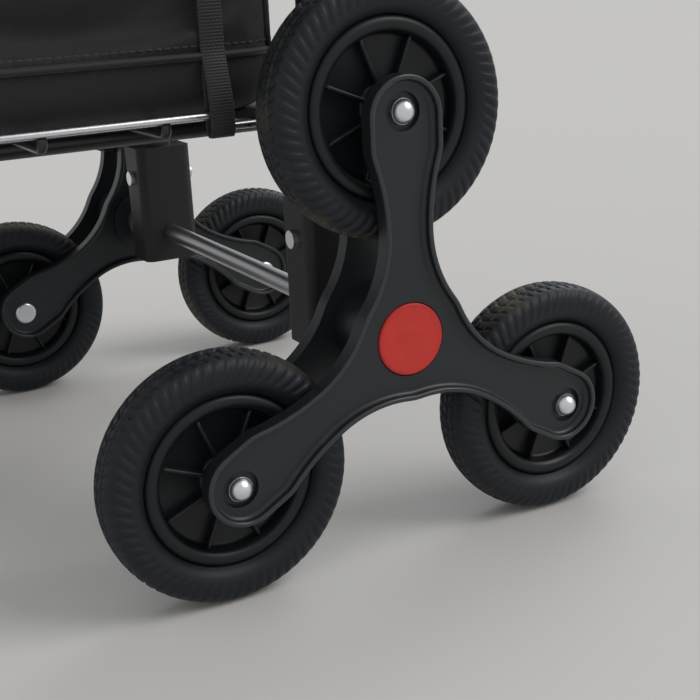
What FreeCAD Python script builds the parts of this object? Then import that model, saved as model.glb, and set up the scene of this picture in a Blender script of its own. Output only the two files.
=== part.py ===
"""Shopping trolley with two tri-star stair-climbing wheel clusters.

Millimetres, +Z up.  +X points back, to the side the handle is pulled from; the bag
stands in front of the uprights, towards -X.  The axle lies along Y.  The origin is the
middle of the footprint, on the floor.

Each cluster has three wheels between two three-armed spiders, and pulls off the axle
when the red button in its hub is pressed.  Everything on a cluster is built for the
left (-Y) side and mirrored for the right.  There, "out" is the distance outboard of the
wheels' mid-plane.
"""
import FreeCAD, Part
import math
import os

V = FreeCAD.Vector

# ---- driving dimensions: wheel clusters ----
ARM = 114.0                # hub centre to wheel centre
WHEEL_R = 65.0
TRACK = 390.0              # between the two clusters' wheel mid-planes
ARM_ANGLES = {"top": 90.0, "front": 210.0, "rear": 330.0}

TYRE_HALF = 14.0           # widest point of the sidewall
TYRE_SEAT_R = 45.0
BEAD_OUT = 8.5             # where the sidewall meets the rim
RIM_CREST_OUT = 10.5
RIM_CREST_R = 41.0
DISH_R = 37.0
RIM_WEB_HALF = 2.0
RIB_OUT = 7.5
RIB_COUNT = 8
RIB_THICK = 2.4
WHEEL_HUB_R = 11.5
WHEEL_HUB_HALF = 15.3

SPIDER_BACK = 15.8         # back face of each spider, from the wheels' mid-plane
WEB = 4.7                  # floor thickness of the tray-shaped spider
LIP_HEIGHT = 4.3
LIP_WIDTH = 2.8
LIP_CREST_FILLET, LIP_FOOT_FILLET = 1.2, 2.2
HUB_R = 31.8               # the round middle of the spider
WAIST_R, WAIST_HALF = 56.0, 13.3
LOBE_START, LOBE_END, LOBE_HALF = 98.0, 111.5, 20.3
NUT_RECESS_R, NUT_RECESS_DEPTH = 9.6, 2.6

AXLE_R = 6.0
CORE_R = 11.0              # sleeve that the cluster turns on
RUNNING = 0.08             # radial running clearance
BARREL_R = 24.0
BUTTON_R = 18.8
BUTTON_POCKET_R = 19.3
BUTTON_POCKET_FLOOR = 4.0
BUTTON_FACE = SPIDER_BACK + WEB + 0.9
BUTTON_TRAVEL = 4.0
FLANGE_OUT = BUTTON_POCKET_FLOOR + 2.8     # outer face of the sleeve's flange
BOLT_R = 4.0
BOLT_HEAD_R, BOLT_HEAD_HEIGHT, BOLT_HEAD_EDGE = 8.0, 3.2, 2.2
BOLT_PAST_WEB = 2.0
NUT_FLATS, NUT_HEIGHT = 13.0, 3.0
NUT_CHAMFER_R = 6.85       # the nut's corners are turned down to this
DOME_R, DOME_CENTRE = 6.3, 1.8
SLEEVE_R = 6.0
CIRCLIP_IN, CIRCLIP_OUT, CIRCLIP_R = -26.2, -25.2, 13.4
CIRCLIP_GROOVE_R = 10.2
SPRING_WIRE_R, SPRING_R, SPRING_TURNS = 0.6, 12.6, 4

PAST = 5.0                 # how far a cutter runs beyond what it cuts
SLIP = 0.05                # radial gap round a shaft or pin in its hole

# ---- driving dimensions: frame, base and bag ----
AXLE_Z = ARM * 0.5 + WHEEL_R        # each cluster stands on two wheels
REAR_REACH = ARM * math.cos(math.radians(30)) + WHEEL_R
FRONT_REACH = 276.0                 # axle to the front of the bag's pocket
AXLE_X = (FRONT_REACH - REAR_REACH) / 2

UPRIGHT_Y = 130.0
UPRIGHT_R, UPRIGHT_BORE_R = 10.0, 8.6
UPRIGHT_TOP = 640.0
SCREW_R, SCREW_Z = 2.5, AXLE_Z + 40.0
COLLAR_R = 13.0
HANDLE_R, HANDLE_WALL = 8.0, 1.4
HANDLE_TOP = 975.0 - HANDLE_R       # centre line of the grip
HANDLE_BEND = 60.0
HANDLE_BOTTOM = 430.0
GRIP_R, GRIP_SHORT = 14.0, 2.0        # the grip ends this far short of the bends
LOCK_Z = 560.0                      # height of the handle's spring buttons
LOCK_STEP, LOCK_HOLES = 60.0, 5
LOCK_R = 3.2

BAG_BOTTOM = AXLE_Z + 112.0
BAG_TOP = BAG_BOTTOM + 510.0
BAG_HALF = 142.0
BAG_BACK, BAG_FRONT = -20.0, -250.0        # from the axle
BAG_WALL = 3.0
BAG_CORNER = 34.0
FLAP_SKIRT, FLAP_SIDE = 120.0, 40.0
FLAP_THICK, FLAP_GAP = 3.0, 1.2
POCKET_HALF, POCKET_LOW, POCKET_HIGH = 100.0, BAG_BOTTOM + 70.0, BAG_BOTTOM + 330.0

BOARD_THICK = 4.0
WIRE_R = 2.5
BASE_TUBE_R, BASE_TUBE_Y = 6.0, 62.0
FOOT_TUBE_R = 8.0
FOOT_X, FOOT_Y, FOOT_BEND = -236.0, 118.0, 38.0
FOOT_CAP_R, FOOT_CAP_HEIGHT, FOOT_CAP_FLOOR = 13.0, 26.0, 6.0
RAIL_R = 2.0
RAIL_GAP = 2.4                      # between the bag and the hoop round it
RAIL_Y = BAG_HALF + RAIL_R + RAIL_GAP
RAIL_FRONT = BAG_FRONT - RAIL_R - RAIL_GAP
RAIL_HIGH, RAIL_LOW = AXLE_Z + 113.0, AXLE_Z + 107.0
STRAP_X, STRAP_WIDTH, STRAP_THICK = -65.0, 13.0, 1.5

HALF_TRACK = TRACK / 2
BASE_TUBE_Z = BAG_BOTTOM - BOARD_THICK - 2 * WIRE_R - BASE_TUBE_R
WIRE_Z = BAG_BOTTOM - BOARD_THICK - WIRE_R


# ---- helpers ----
def at(x, y, z):
    """A point given from the axle's place along X; Y and Z are the object's own."""
    return V(AXLE_X + x, y, z)


def fused(shapes):
    """One clean solid from several that overlap."""
    return shapes[0].multiFuse(shapes[1:]).removeSplitter() if len(shapes) > 1 else shapes[0]


def cylinder(radius, start, end):
    """A round bar between two points."""
    run = end.sub(start)
    return Part.makeCylinder(radius, run.Length, start, run)


def ring(outer, inner, start, end):
    """A tube between two points."""
    return cylinder(outer, start, end).cut(cylinder(inner, start, end))


def box(low, high):
    """A box from its lowest to its highest corner."""
    size = high.sub(low)
    return Part.makeBox(size.x, size.y, size.z, low)


def rounded_path(points, radii):
    """A wire through the points, with a tangent arc of the given radius at each inner one."""
    edges, start = [], points[0]
    for before, corner, after, radius in zip(points, points[1:], points[2:], radii):
        back, ahead = before.sub(corner).normalize(), after.sub(corner).normalize()
        half = back.getAngle(ahead) / 2
        reach = radius / math.tan(half)
        first, last = corner.add(V(back) * reach), corner.add(V(ahead) * reach)
        middle = V(back).add(ahead).normalize()
        centre = corner.add(V(middle) * (radius / math.sin(half)))
        edges.append(Part.LineSegment(start, first).toShape())
        edges.append(Part.Arc(first, centre.sub(V(middle) * radius), last).toShape())
        start = last
    edges.append(Part.LineSegment(start, points[-1]).toShape())
    return Part.Wire(edges)


def rod(points, radii, radius):
    """A round bar bent along a rounded path."""
    path = rounded_path(points, radii)
    section = Part.Wire([Part.makeCircle(radius, points[0], points[1].sub(points[0]))])
    return path.makePipeShell([section], True, False)


def mirrored(shape):
    return shape.mirror(V(0, 0, 0), V(0, 1, 0))


def both_sides(shape):
    """The shape and its mirror image, as two separate solids."""
    return Part.makeCompound([shape, mirrored(shape)])


def save(name, shape):
    shape.exportStep(os.path.join("parts", name + ".step"))


# ---- cluster geometry: built about the hub, in a plane, then placed on the left ----
def left(out):
    """The Y of something that lies this far outboard on the left side."""
    return -(HALF_TRACK + out)


def hub_point(out):
    return at(0, left(out), AXLE_Z)


def arm_point(angle, along, across, out):
    """A point by its distance along an arm and across it."""
    c, s = math.cos(math.radians(angle)), math.sin(math.radians(angle))
    return at(along * c - across * s, left(out), AXLE_Z + along * s + across * c)


def spider_outline(out):
    """The three-armed outline: round lobes, drawn-in waists and a round hub, all tangent."""
    hub_sweep = (WAIST_R**2 + WAIST_HALF**2 - HUB_R**2) / (2 * (HUB_R - WAIST_HALF))
    lobe_run = LOBE_START - WAIST_R
    lobe_sweep = (lobe_run**2 + WAIST_HALF**2 - LOBE_HALF**2) / (2 * (LOBE_HALF - WAIST_HALF))
    to_hub = math.atan2(WAIST_HALF + hub_sweep, WAIST_R)
    to_lobe = math.atan2(WAIST_HALF + lobe_sweep, -lobe_run)

    def on_arc(centre, radius, turn):
        return centre[0] + radius * math.cos(turn), centre[1] + radius * math.sin(turn)

    hub_touch = on_arc((0, 0), HUB_R, to_hub)
    lobe_touch = on_arc((LOBE_START, 0), LOBE_HALF, to_lobe)
    hub_mid = on_arc((WAIST_R, WAIST_HALF + hub_sweep), hub_sweep,
                     (to_hub + math.pi + 1.5 * math.pi) / 2)
    lobe_mid = on_arc((WAIST_R, WAIST_HALF + lobe_sweep), lobe_sweep,
                      (to_lobe + math.pi + 1.5 * math.pi) / 2)
    shoulder_mid = on_arc((LOBE_START, 0), LOBE_HALF, (to_lobe + math.pi / 2) / 2)
    half = [hub_touch, hub_mid, (WAIST_R, WAIST_HALF), lobe_mid, lobe_touch, shoulder_mid,
            (LOBE_START, LOBE_HALF), (LOBE_END, LOBE_HALF)]

    edges = []
    for angle in ARM_ANGLES.values():
        def point(pair, side):
            return arm_point(angle, pair[0], side * pair[1], out)
        for side in (1, -1):
            for first in (0, 2, 4):
                arc = [point(pair, side) for pair in half[first:first + 3]]
                edges.append(Part.Arc(*arc).toShape())
            edges.append(Part.LineSegment(point(half[6], side), point(half[7], side)).toShape())
        tip = (LOBE_END + LOBE_HALF, 0)
        edges.append(Part.Arc(point(half[7], 1), point(tip, 1), point(half[7], -1)).toShape())
        across = [hub_touch, on_arc((0, 0), HUB_R, math.pi / 3)]
        last = arm_point(angle + 120, hub_touch[0], -hub_touch[1], out)
        edges.append(Part.Arc(point(across[0], 1), point(across[1], 1), last).toShape())
    return Part.Wire(Part.__sortEdges__(edges))


def spider_tray(back, direction):
    """A flat web with a raised lip round its edge, and its holes; it faces the way given."""
    face = Part.Face(spider_outline(back))
    inset = Part.Face(face.makeOffset2D(-LIP_WIDTH).OuterWire)
    outward = V(0, -direction, 0)
    tray = face.extrude(outward * (WEB + LIP_HEIGHT))
    hollow = inset.extrude(outward * (LIP_HEIGHT + 1.0))
    hollow.translate(outward * WEB)
    tray = tray.cut(hollow)
    for height, radius in ((WEB + LIP_HEIGHT, LIP_CREST_FILLET), (WEB, LIP_FOOT_FILLET)):
        level = left(back + direction * height)
        tray = tray.makeFillet(radius, [e for e in tray.Edges if abs(e.CenterOfMass.y - level) < 1e-4])
    for angle in ARM_ANGLES.values():
        tray = tray.cut(cylinder(BOLT_R + 2 * SLIP, arm_point(angle, ARM, 0, back - direction * PAST),
                                 arm_point(angle, ARM, 0, back + direction * (WEB + PAST))))
    return tray


def outer_spider():
    tray = spider_tray(SPIDER_BACK, 1)
    tray = tray.cut(cylinder(BUTTON_POCKET_R, hub_point(SPIDER_BACK - PAST),
                             hub_point(SPIDER_BACK + WEB + PAST)))
    floor = SPIDER_BACK + WEB - NUT_RECESS_DEPTH
    for angle in ARM_ANGLES.values():
        tray = tray.cut(cylinder(NUT_RECESS_R, arm_point(angle, ARM, 0, floor),
                                 arm_point(angle, ARM, 0, floor + LIP_HEIGHT + PAST)))
    return tray


def inner_spider():
    """The tray that faces the frame, with the barrel that reaches across to the outer one."""
    tray = spider_tray(-SPIDER_BACK, -1)
    end = -(SPIDER_BACK + WEB + LIP_HEIGHT)
    barrel = cylinder(BARREL_R, hub_point(end), hub_point(SPIDER_BACK))
    spider = fused([tray, barrel])
    spider = spider.cut(cylinder(CORE_R + RUNNING, hub_point(end - PAST), hub_point(SPIDER_BACK)))
    return spider.cut(cylinder(BUTTON_POCKET_R, hub_point(BUTTON_POCKET_FLOOR),
                               hub_point(SPIDER_BACK + PAST)))


def wheel_bolts():
    """Round-headed bolts, heads on the inner spider's web."""
    seat = -(SPIDER_BACK + WEB)
    crown = seat - BOLT_HEAD_HEIGHT
    bolts = []
    for angle in ARM_ANGLES.values():
        shank = cylinder(BOLT_R, arm_point(angle, ARM, 0, seat),
                         arm_point(angle, ARM, 0, SPIDER_BACK + WEB + BOLT_PAST_WEB))
        head = cylinder(BOLT_HEAD_R, arm_point(angle, ARM, 0, crown), arm_point(angle, ARM, 0, seat))
        rim = [e for e in head.Edges if abs(e.CenterOfMass.y - left(crown)) < 1e-4 and e.Length > 40]
        bolts.append(fused([shank, head.makeFillet(BOLT_HEAD_EDGE, rim)]))
    return Part.makeCompound(bolts)


def dome_nuts():
    """Hexagon nuts under a low dome, seated in the outer spider's recesses."""
    seat = SPIDER_BACK + WEB - NUT_RECESS_DEPTH
    corner_r, twist = NUT_FLATS / math.sqrt(3), math.radians(12)
    nuts = []
    for angle in ARM_ANGLES.values():
        base = arm_point(angle, ARM, 0, seat)
        corners = [base.add(V(corner_r * math.cos(turn), 0, corner_r * math.sin(turn)))
                   for turn in (math.radians(60 * i) + twist for i in range(6))]
        prism = Part.Face(Part.makePolygon(corners + corners[:1])).extrude(V(0, -NUT_HEIGHT, 0))
        cone = Part.makeCone(NUT_CHAMFER_R, DOME_R, NUT_HEIGHT, base, V(0, -1, 0))
        dome = Part.makeSphere(DOME_R, arm_point(angle, ARM, 0, seat + DOME_CENTRE))
        dome = dome.common(cylinder(DOME_R + PAST, arm_point(angle, ARM, 0, seat + 0.5),
                                    arm_point(angle, ARM, 0, seat + DOME_CENTRE + DOME_R + PAST)))
        thread = cylinder(BOLT_R + SLIP / 2, arm_point(angle, ARM, 0, seat - PAST),
                          arm_point(angle, ARM, 0, SPIDER_BACK + WEB + BOLT_PAST_WEB + 0.5))
        nuts.append(fused([prism.common(cone), dome]).cut(thread))
    return Part.makeCompound(nuts)


def wheel_sleeves():
    return Part.makeCompound([
        ring(SLEEVE_R, BOLT_R + SLIP, arm_point(a, ARM, 0, -SPIDER_BACK), arm_point(a, ARM, 0, SPIDER_BACK))
        for a in ARM_ANGLES.values()])


def turned(profile, angle):
    """A ring turned about a wheel's axle from (radius, out) corners; a 3-tuple is an arc's middle."""
    def place(pair):
        return arm_point(0, pair[0], 0, pair[1])
    edges, i = [], 0
    loop = profile + profile[:1]
    while i < len(loop) - 1:
        if len(loop[i + 1]) == 3:
            edges.append(Part.Arc(place(loop[i]), place(loop[i + 1][:2]), place(loop[i + 2])).toShape())
            i += 2
        else:
            edges.append(Part.LineSegment(place(loop[i]), place(loop[i + 1])).toShape())
            i += 1
    shape = Part.Face(Part.Wire(edges)).revolve(hub_point(0), V(0, 1, 0), 360)
    shape = Part.Solid(shape.Shells[0]) if shape.ShapeType != "Solid" else shape
    shape.translate(arm_point(angle, ARM, 0, 0).sub(hub_point(0)))
    return shape


def tyre(angle):
    """Round-shouldered solid tyre on the rim's seat."""
    seat, bead = TYRE_SEAT_R + 0.05, BEAD_OUT
    shoulder_r, shoulder_out = WHEEL_R - 3.5, TYRE_HALF - 2.6
    return turned([(seat, -bead), (seat, bead),
                   (seat + 6.5, TYRE_HALF - 0.7, "arc"), (seat + 11.5, TYRE_HALF - 0.1),
                   (shoulder_r - 1.4, TYRE_HALF - 1.1, "arc"), (shoulder_r, shoulder_out),
                   (WHEEL_R, 0.0, "arc"), (shoulder_r, -shoulder_out),
                   (shoulder_r - 1.4, -(TYRE_HALF - 1.1), "arc"), (seat + 11.5, -(TYRE_HALF - 0.1)),
                   (seat + 6.5, -(TYRE_HALF - 0.7), "arc")], angle)


def rim(angle):
    """Dished rim: bored hub, thin web, ribs on both faces and a rounded bead ring."""
    bore, crest, edge = SLEEVE_R + RUNNING, RIM_CREST_OUT, BEAD_OUT - 0.6
    web, hub = RIM_WEB_HALF, WHEEL_HUB_HALF
    body = turned([(bore, -hub), (bore, hub), (WHEEL_HUB_R, hub), (WHEEL_HUB_R + 1.0, web),
                   (DISH_R - 1.0, web), (DISH_R, edge), (RIM_CREST_R, crest, "arc"),
                   (TYRE_SEAT_R, edge), (TYRE_SEAT_R, -edge), (RIM_CREST_R, -crest, "arc"),
                   (DISH_R, -edge), (DISH_R - 1.0, -web), (WHEEL_HUB_R + 1.0, -web),
                   (WHEEL_HUB_R, -hub)], angle)
    centre = arm_point(angle, ARM, 0, 0)
    rib = Part.makeBox(DISH_R + 1.5 - WHEEL_HUB_R, 2 * RIB_OUT, RIB_THICK,
                       centre.add(V(WHEEL_HUB_R - 0.5, -RIB_OUT, -RIB_THICK / 2)))
    ribs = []
    for i in range(RIB_COUNT):
        turned_rib = rib.copy()
        turned_rib.rotate(centre, V(0, 1, 0), 360.0 * (i + 0.5) / RIB_COUNT)
        ribs.append(turned_rib)
    return fused([body] + ribs)


def release_core():
    """The sleeve that stays on the axle: a flange under the button, a circlip groove inboard."""
    flange_in = BUTTON_POCKET_FLOOR + 0.3
    sleeve = cylinder(CORE_R, hub_point(CIRCLIP_IN - 1.3), hub_point(flange_in + 0.1))
    flange = cylinder(15.4, hub_point(flange_in), hub_point(FLANGE_OUT))
    groove = ring(CORE_R + PAST, CIRCLIP_GROOVE_R, hub_point(CIRCLIP_IN - 0.1), hub_point(CIRCLIP_OUT + 0.1))
    bore = cylinder(AXLE_R + RUNNING, hub_point(CIRCLIP_IN - PAST), hub_point(FLANGE_OUT + PAST))
    return fused([sleeve, flange]).cut(groove).cut(bore)


def circlip():
    """Open spring ring that keeps the cluster on its sleeve."""
    clip = ring(CIRCLIP_R, CIRCLIP_GROOVE_R + SLIP, hub_point(CIRCLIP_IN), hub_point(CIRCLIP_OUT))
    gap = box(at(-3, left(CIRCLIP_OUT) - 1, AXLE_Z - CIRCLIP_R - 2), at(3, left(CIRCLIP_IN) + 1, AXLE_Z - 8))
    return clip.cut(gap)


def lock_clip():
    """Flat spring ring that drops in the axle's groove."""
    low, thick, outer, inner = FLANGE_OUT + 0.1, 1.2, 9.0, 5.0
    clip = ring(outer, inner, hub_point(low), hub_point(low + thick))
    return clip.cut(box(at(-2, left(low + thick) - 1, AXLE_Z), at(2, left(low) + 1, AXLE_Z + outer + 3)))


def release_button():
    """Round cup, open inwards, with a soft edge."""
    skirt, face_thick, inner_r = 9.5, 3.0, 15.9
    cap = cylinder(BUTTON_R, hub_point(BUTTON_FACE - skirt), hub_point(BUTTON_FACE))
    face_edge = [e for e in cap.Edges
                 if abs(e.CenterOfMass.y - left(BUTTON_FACE)) < 1e-4 and e.Length > 100]
    cap = cap.makeFillet(1.0, face_edge)
    return cap.cut(cylinder(inner_r, hub_point(BUTTON_FACE - skirt - PAST),
                            hub_point(BUTTON_FACE - face_thick)))


def button_spring():
    """Compression spring between the sleeve's flange and the button."""
    start, end, steps = FLANGE_OUT + 0.1, BUTTON_FACE - 3.1, 12
    rise = (end - start - 2 * SPRING_WIRE_R) / (SPRING_TURNS * steps)
    points = []
    for i in range(SPRING_TURNS * steps + 1):
        turn = 2 * math.pi * i / steps
        about = V(SPRING_R * math.cos(turn), 0, SPRING_R * math.sin(turn))
        points.append(hub_point(start + SPRING_WIRE_R + rise * i).add(about))
    curve = Part.BSplineCurve()
    curve.interpolate(points)
    section = Part.Wire([Part.makeCircle(SPRING_WIRE_R, points[0], curve.tangent(curve.FirstParameter)[0])])
    return Part.Wire([curve.toShape()]).makePipeShell([section], True, True)


# ---- frame ----
def axle():
    """Steel bar from hub to hub, grooved for the lock clips."""
    end = FLANGE_OUT + 4.2
    bar = cylinder(AXLE_R, at(0, left(end), AXLE_Z), at(0, -left(end), AXLE_Z))
    bar = bar.makeChamfer(1.0, [e for e in bar.Edges if abs(abs(e.CenterOfMass.y) + left(end)) < 1e-4])
    groove = ring(AXLE_R + PAST, AXLE_R - 1.2, hub_point(FLANGE_OUT - 0.1), hub_point(FLANGE_OUT + 1.5))
    return bar.cut(groove).cut(mirrored(groove))


BRACKET_HALF_X, BRACKET_IN, BRACKET_OUT = 20.0, 114.0, 146.0
BRACKET_LOW, BRACKET_HIGH = AXLE_Z - 20.0, AXLE_Z + 62.0
UPRIGHT_BOTTOM = AXLE_Z + 12.0


def screw_hole():
    reach = BRACKET_HALF_X + PAST
    return cylinder(SCREW_R + SLIP, at(-reach, -UPRIGHT_Y, SCREW_Z), at(reach, -UPRIGHT_Y, SCREW_Z))


def axle_bracket():
    """Moulded block that joins an upright to the axle."""
    block = box(at(-BRACKET_HALF_X, -BRACKET_OUT, BRACKET_LOW), at(BRACKET_HALF_X, -BRACKET_IN, BRACKET_HIGH))
    upright_edges = [e for e in block.Edges if abs(e.Length - (BRACKET_HIGH - BRACKET_LOW)) < 1e-4]
    block = block.makeFillet(6.0, upright_edges)
    block = block.cut(cylinder(AXLE_R + SLIP, at(0, -BRACKET_OUT - PAST, AXLE_Z),
                               at(0, -BRACKET_IN + PAST, AXLE_Z)))
    block = block.cut(cylinder(UPRIGHT_R + SLIP, at(0, -UPRIGHT_Y, UPRIGHT_BOTTOM),
                               at(0, -UPRIGHT_Y, BRACKET_HIGH + PAST)))
    return block.cut(screw_hole())


def bracket_screw():
    """Cross screw with a pan head and a nut, through the bracket and the upright."""
    face, head_height, nut_height = BRACKET_HALF_X, 3.0, 4.0
    shank = cylinder(SCREW_R, at(-face, -UPRIGHT_Y, SCREW_Z), at(face + nut_height + 1, -UPRIGHT_Y, SCREW_Z))
    head = cylinder(5.0, at(-face - head_height, -UPRIGHT_Y, SCREW_Z), at(-face, -UPRIGHT_Y, SCREW_Z))
    nut = cylinder(4.6, at(face, -UPRIGHT_Y, SCREW_Z), at(face + nut_height, -UPRIGHT_Y, SCREW_Z))
    return fused([shank, head, nut])


def upright():
    """Steel tube with a row of holes for the handle's spring buttons."""
    tube = ring(UPRIGHT_R, UPRIGHT_BORE_R, at(0, -UPRIGHT_Y, UPRIGHT_BOTTOM), at(0, -UPRIGHT_Y, UPRIGHT_TOP))
    tube = tube.cut(screw_hole())
    for i in range(LOCK_HOLES):
        height = LOCK_Z - i * LOCK_STEP
        tube = tube.cut(cylinder(LOCK_R + 0.4, at(0, -UPRIGHT_Y - 15, height), at(0, -UPRIGHT_Y, height)))
    return tube


def upright_collar():
    """Plastic guide on top of the upright."""
    low, high = UPRIGHT_TOP - 18, UPRIGHT_TOP + 8
    collar = ring(COLLAR_R, UPRIGHT_R, at(0, -UPRIGHT_Y, low), at(0, -UPRIGHT_Y, UPRIGHT_TOP))
    cap = ring(COLLAR_R, HANDLE_R + 0.3, at(0, -UPRIGHT_Y, UPRIGHT_TOP), at(0, -UPRIGHT_Y, high))
    return fused([collar, cap])


def crossbar(x, z, half, radius):
    return cylinder(radius, at(x, -half, z), at(x, half, z))


def between_uprights(z, radius):
    """A crossbar whose ends are cut to fit the uprights."""
    bar = crossbar(0, z, UPRIGHT_Y, radius)
    for side in (-1, 1):
        bar = bar.cut(cylinder(UPRIGHT_R, at(0, side * UPRIGHT_Y, 0), at(0, side * UPRIGHT_Y, UPRIGHT_TOP)))
    return bar


def base_side_tube():
    """Fore-and-aft tube from the lower crossbar to the front foot."""
    tube = cylinder(BASE_TUBE_R, at(FOOT_X, -BASE_TUBE_Y, BASE_TUBE_Z), at(0, -BASE_TUBE_Y, BASE_TUBE_Z))
    for x in (FOOT_X, 0):
        tube = tube.cut(crossbar(x, BASE_TUBE_Z, BASE_TUBE_Y + 2 * PAST, FOOT_TUBE_R))
    return tube


def front_foot_tube():
    """Upside-down U that the trolley stands on at the front."""
    points = [at(FOOT_X, -FOOT_Y, FOOT_CAP_FLOOR), at(FOOT_X, -FOOT_Y, BASE_TUBE_Z),
              at(FOOT_X, FOOT_Y, BASE_TUBE_Z), at(FOOT_X, FOOT_Y, FOOT_CAP_FLOOR)]
    return rod(points, [FOOT_BEND, FOOT_BEND], FOOT_TUBE_R)


def foot_cap():
    """Rubber cap on the end of a foot."""
    cap = cylinder(FOOT_CAP_R, at(FOOT_X, -FOOT_Y, 0), at(FOOT_X, -FOOT_Y, FOOT_CAP_HEIGHT))
    top = [e for e in cap.Edges if abs(e.CenterOfMass.z - FOOT_CAP_HEIGHT) < 1e-4 and e.Length > 50]
    return cap.makeFillet(3.0, top).cut(cylinder(FOOT_TUBE_R + 0.02, at(FOOT_X, -FOOT_Y, FOOT_CAP_FLOOR),
                                                 at(FOOT_X, -FOOT_Y, FOOT_CAP_HEIGHT + PAST)))


CLAMP_LOW, CLAMP_HIGH = RAIL_LOW - 9.0, RAIL_LOW + 9.0


def cradle_hoop():
    """Bright wire round the foot of the bag; each side steps down behind the strap."""
    back, step, bend = -10.0, 6.0, 4.0
    side = [(back, RAIL_LOW), (STRAP_X + step / 2, RAIL_LOW), (STRAP_X - step / 2, RAIL_HIGH)]
    points = [at(x, -RAIL_Y, z) for x, z in side]
    points += [at(RAIL_FRONT, -RAIL_Y, RAIL_HIGH), at(RAIL_FRONT, RAIL_Y, RAIL_HIGH)]
    points += [at(x, RAIL_Y, z) for x, z in reversed(side)]
    return rod(points, [bend, bend, BAG_CORNER, BAG_CORNER, bend, bend], RAIL_R)


def rail_clamp():
    """Moulded clamp that holds the hoop's end on the upright."""
    block = box(at(-17, -(RAIL_Y + 5), CLAMP_LOW), at(15, -(UPRIGHT_Y - 4), CLAMP_HIGH))
    block = block.makeFillet(4.0, [e for e in block.Edges if abs(e.Length - (CLAMP_HIGH - CLAMP_LOW)) < 1e-4])
    block = block.cut(cylinder(UPRIGHT_R, at(0, -UPRIGHT_Y, CLAMP_LOW - PAST),
                               at(0, -UPRIGHT_Y, CLAMP_HIGH + PAST)))
    return block.cut(cylinder(RAIL_R + 0.02, at(-30, -RAIL_Y, RAIL_LOW), at(-10, -RAIL_Y, RAIL_LOW)))


def base_wires():
    """Cross wires that carry the board; those under the hoop's high part rise to it."""
    first, pitch, bend = -32.0, 62.0, 4.0
    wires = []
    for i in range(4):
        x = first - pitch * i
        if x > STRAP_X:
            wires.append(crossbar(x, WIRE_Z, RAIL_Y - RAIL_R, WIRE_R))
            continue
        points = [at(x, -RAIL_Y, RAIL_HIGH - RAIL_R), at(x, -RAIL_Y, WIRE_Z),
                  at(x, RAIL_Y, WIRE_Z), at(x, RAIL_Y, RAIL_HIGH - RAIL_R)]
        wires.append(rod(points, [bend, bend], WIRE_R))
    return Part.makeCompound(wires)


def base_board():
    board = box(at(BAG_FRONT + 6, -(BAG_HALF - 14), BAG_BOTTOM - BOARD_THICK),
                at(BAG_BACK - 4, BAG_HALF - 14, BAG_BOTTOM))
    return board.makeFillet(12.0, [e for e in board.Edges if abs(e.Length - BOARD_THICK) < 1e-4])


# ---- bag ----
def rounded_block(low, high, corner):
    block = box(low, high)
    return block.makeFillet(corner, [e for e in block.Edges if abs(e.Length - (high.z - low.z)) < 1e-4])


def bag_panels():
    """The four flat wall panels of the open-topped bag."""
    t, run_y = BAG_WALL, BAG_HALF - BAG_CORNER
    front = box(at(BAG_FRONT, -run_y, BAG_BOTTOM), at(BAG_FRONT + t, run_y, BAG_TOP))
    back = box(at(BAG_BACK - t, -run_y, BAG_BOTTOM), at(BAG_BACK, run_y, BAG_TOP))
    side = box(at(BAG_FRONT + BAG_CORNER, -BAG_HALF, BAG_BOTTOM),
               at(BAG_BACK - BAG_CORNER, -BAG_HALF + t, BAG_TOP))
    return Part.makeCompound([front, back, side, mirrored(side)])


def bag_corners():
    """Rounded corner strips: each corner is two strips, sewn together at its middle."""
    strips = []
    for x, outward in ((BAG_FRONT + BAG_CORNER, -1), (BAG_BACK - BAG_CORNER, 1)):
        low, high = at(x, -BAG_HALF + BAG_CORNER, BAG_BOTTOM), at(x, -BAG_HALF + BAG_CORNER, BAG_TOP)
        corner = ring(BAG_CORNER, BAG_CORNER - BAG_WALL, low, high)
        for first, second in (((outward, 0), (outward, -1)), ((outward, -1), (0, -1))):
            reach = 2 * BAG_CORNER
            wedge = [low, low.add(V(*first, 0) * reach), low.add(V(*second, 0) * reach)]
            prism = Part.Face(Part.makePolygon(wedge + wedge[:1])).extrude(high.sub(low))
            strip = corner.common(prism)
            strips += [strip, mirrored(strip)]
    return Part.makeCompound([strip.Solids[0] for strip in strips])


def bag_floor():
    """Bottom panel, inside the walls."""
    t = BAG_WALL
    return rounded_block(at(BAG_FRONT + t, -BAG_HALF + t, BAG_BOTTOM),
                         at(BAG_BACK - t, BAG_HALF - t, BAG_BOTTOM + t), BAG_CORNER - t)


def bag_pocket():
    """Flat pocket on the front."""
    pocket = rounded_block(at(-FRONT_REACH, -POCKET_HALF, POCKET_LOW),
                           at(BAG_FRONT - 0.3, POCKET_HALF, POCKET_HIGH), 12.0)
    face_x = AXLE_X - FRONT_REACH
    front = [e for e in pocket.Edges if e.BoundBox.XMax < face_x + 1e-3 and e.BoundBox.YLength > 150]
    return pocket.makeFillet(8.0, front)


def bag_flap():
    """Lid over the mouth of the bag: a top, a front skirt and two side skirts."""
    gap, t = FLAP_GAP, FLAP_THICK
    back, front = BAG_BACK - 2.0, BAG_FRONT - gap
    low, high = BAG_TOP + gap, BAG_TOP + gap + t
    half = BAG_HALF + gap
    top = rounded_block(at(front - t, -half - t, low), at(back, half + t, high), 6.0)
    skirt = box(at(front - t, -half + 14, BAG_TOP - FLAP_SKIRT), at(front, half - 14, high - 1))
    side_points = [at(back - 16, -half, high - 1), at(front - t + 6, -half, high - 1),
                   at(front - t + 6, -half, BAG_TOP - FLAP_SIDE), at(front + 40, -half, BAG_TOP - FLAP_SIDE)]
    side = Part.Face(Part.makePolygon(side_points + side_points[:1])).extrude(V(0, -t, 0))
    return fused([top, skirt, side, mirrored(side)])


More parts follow.
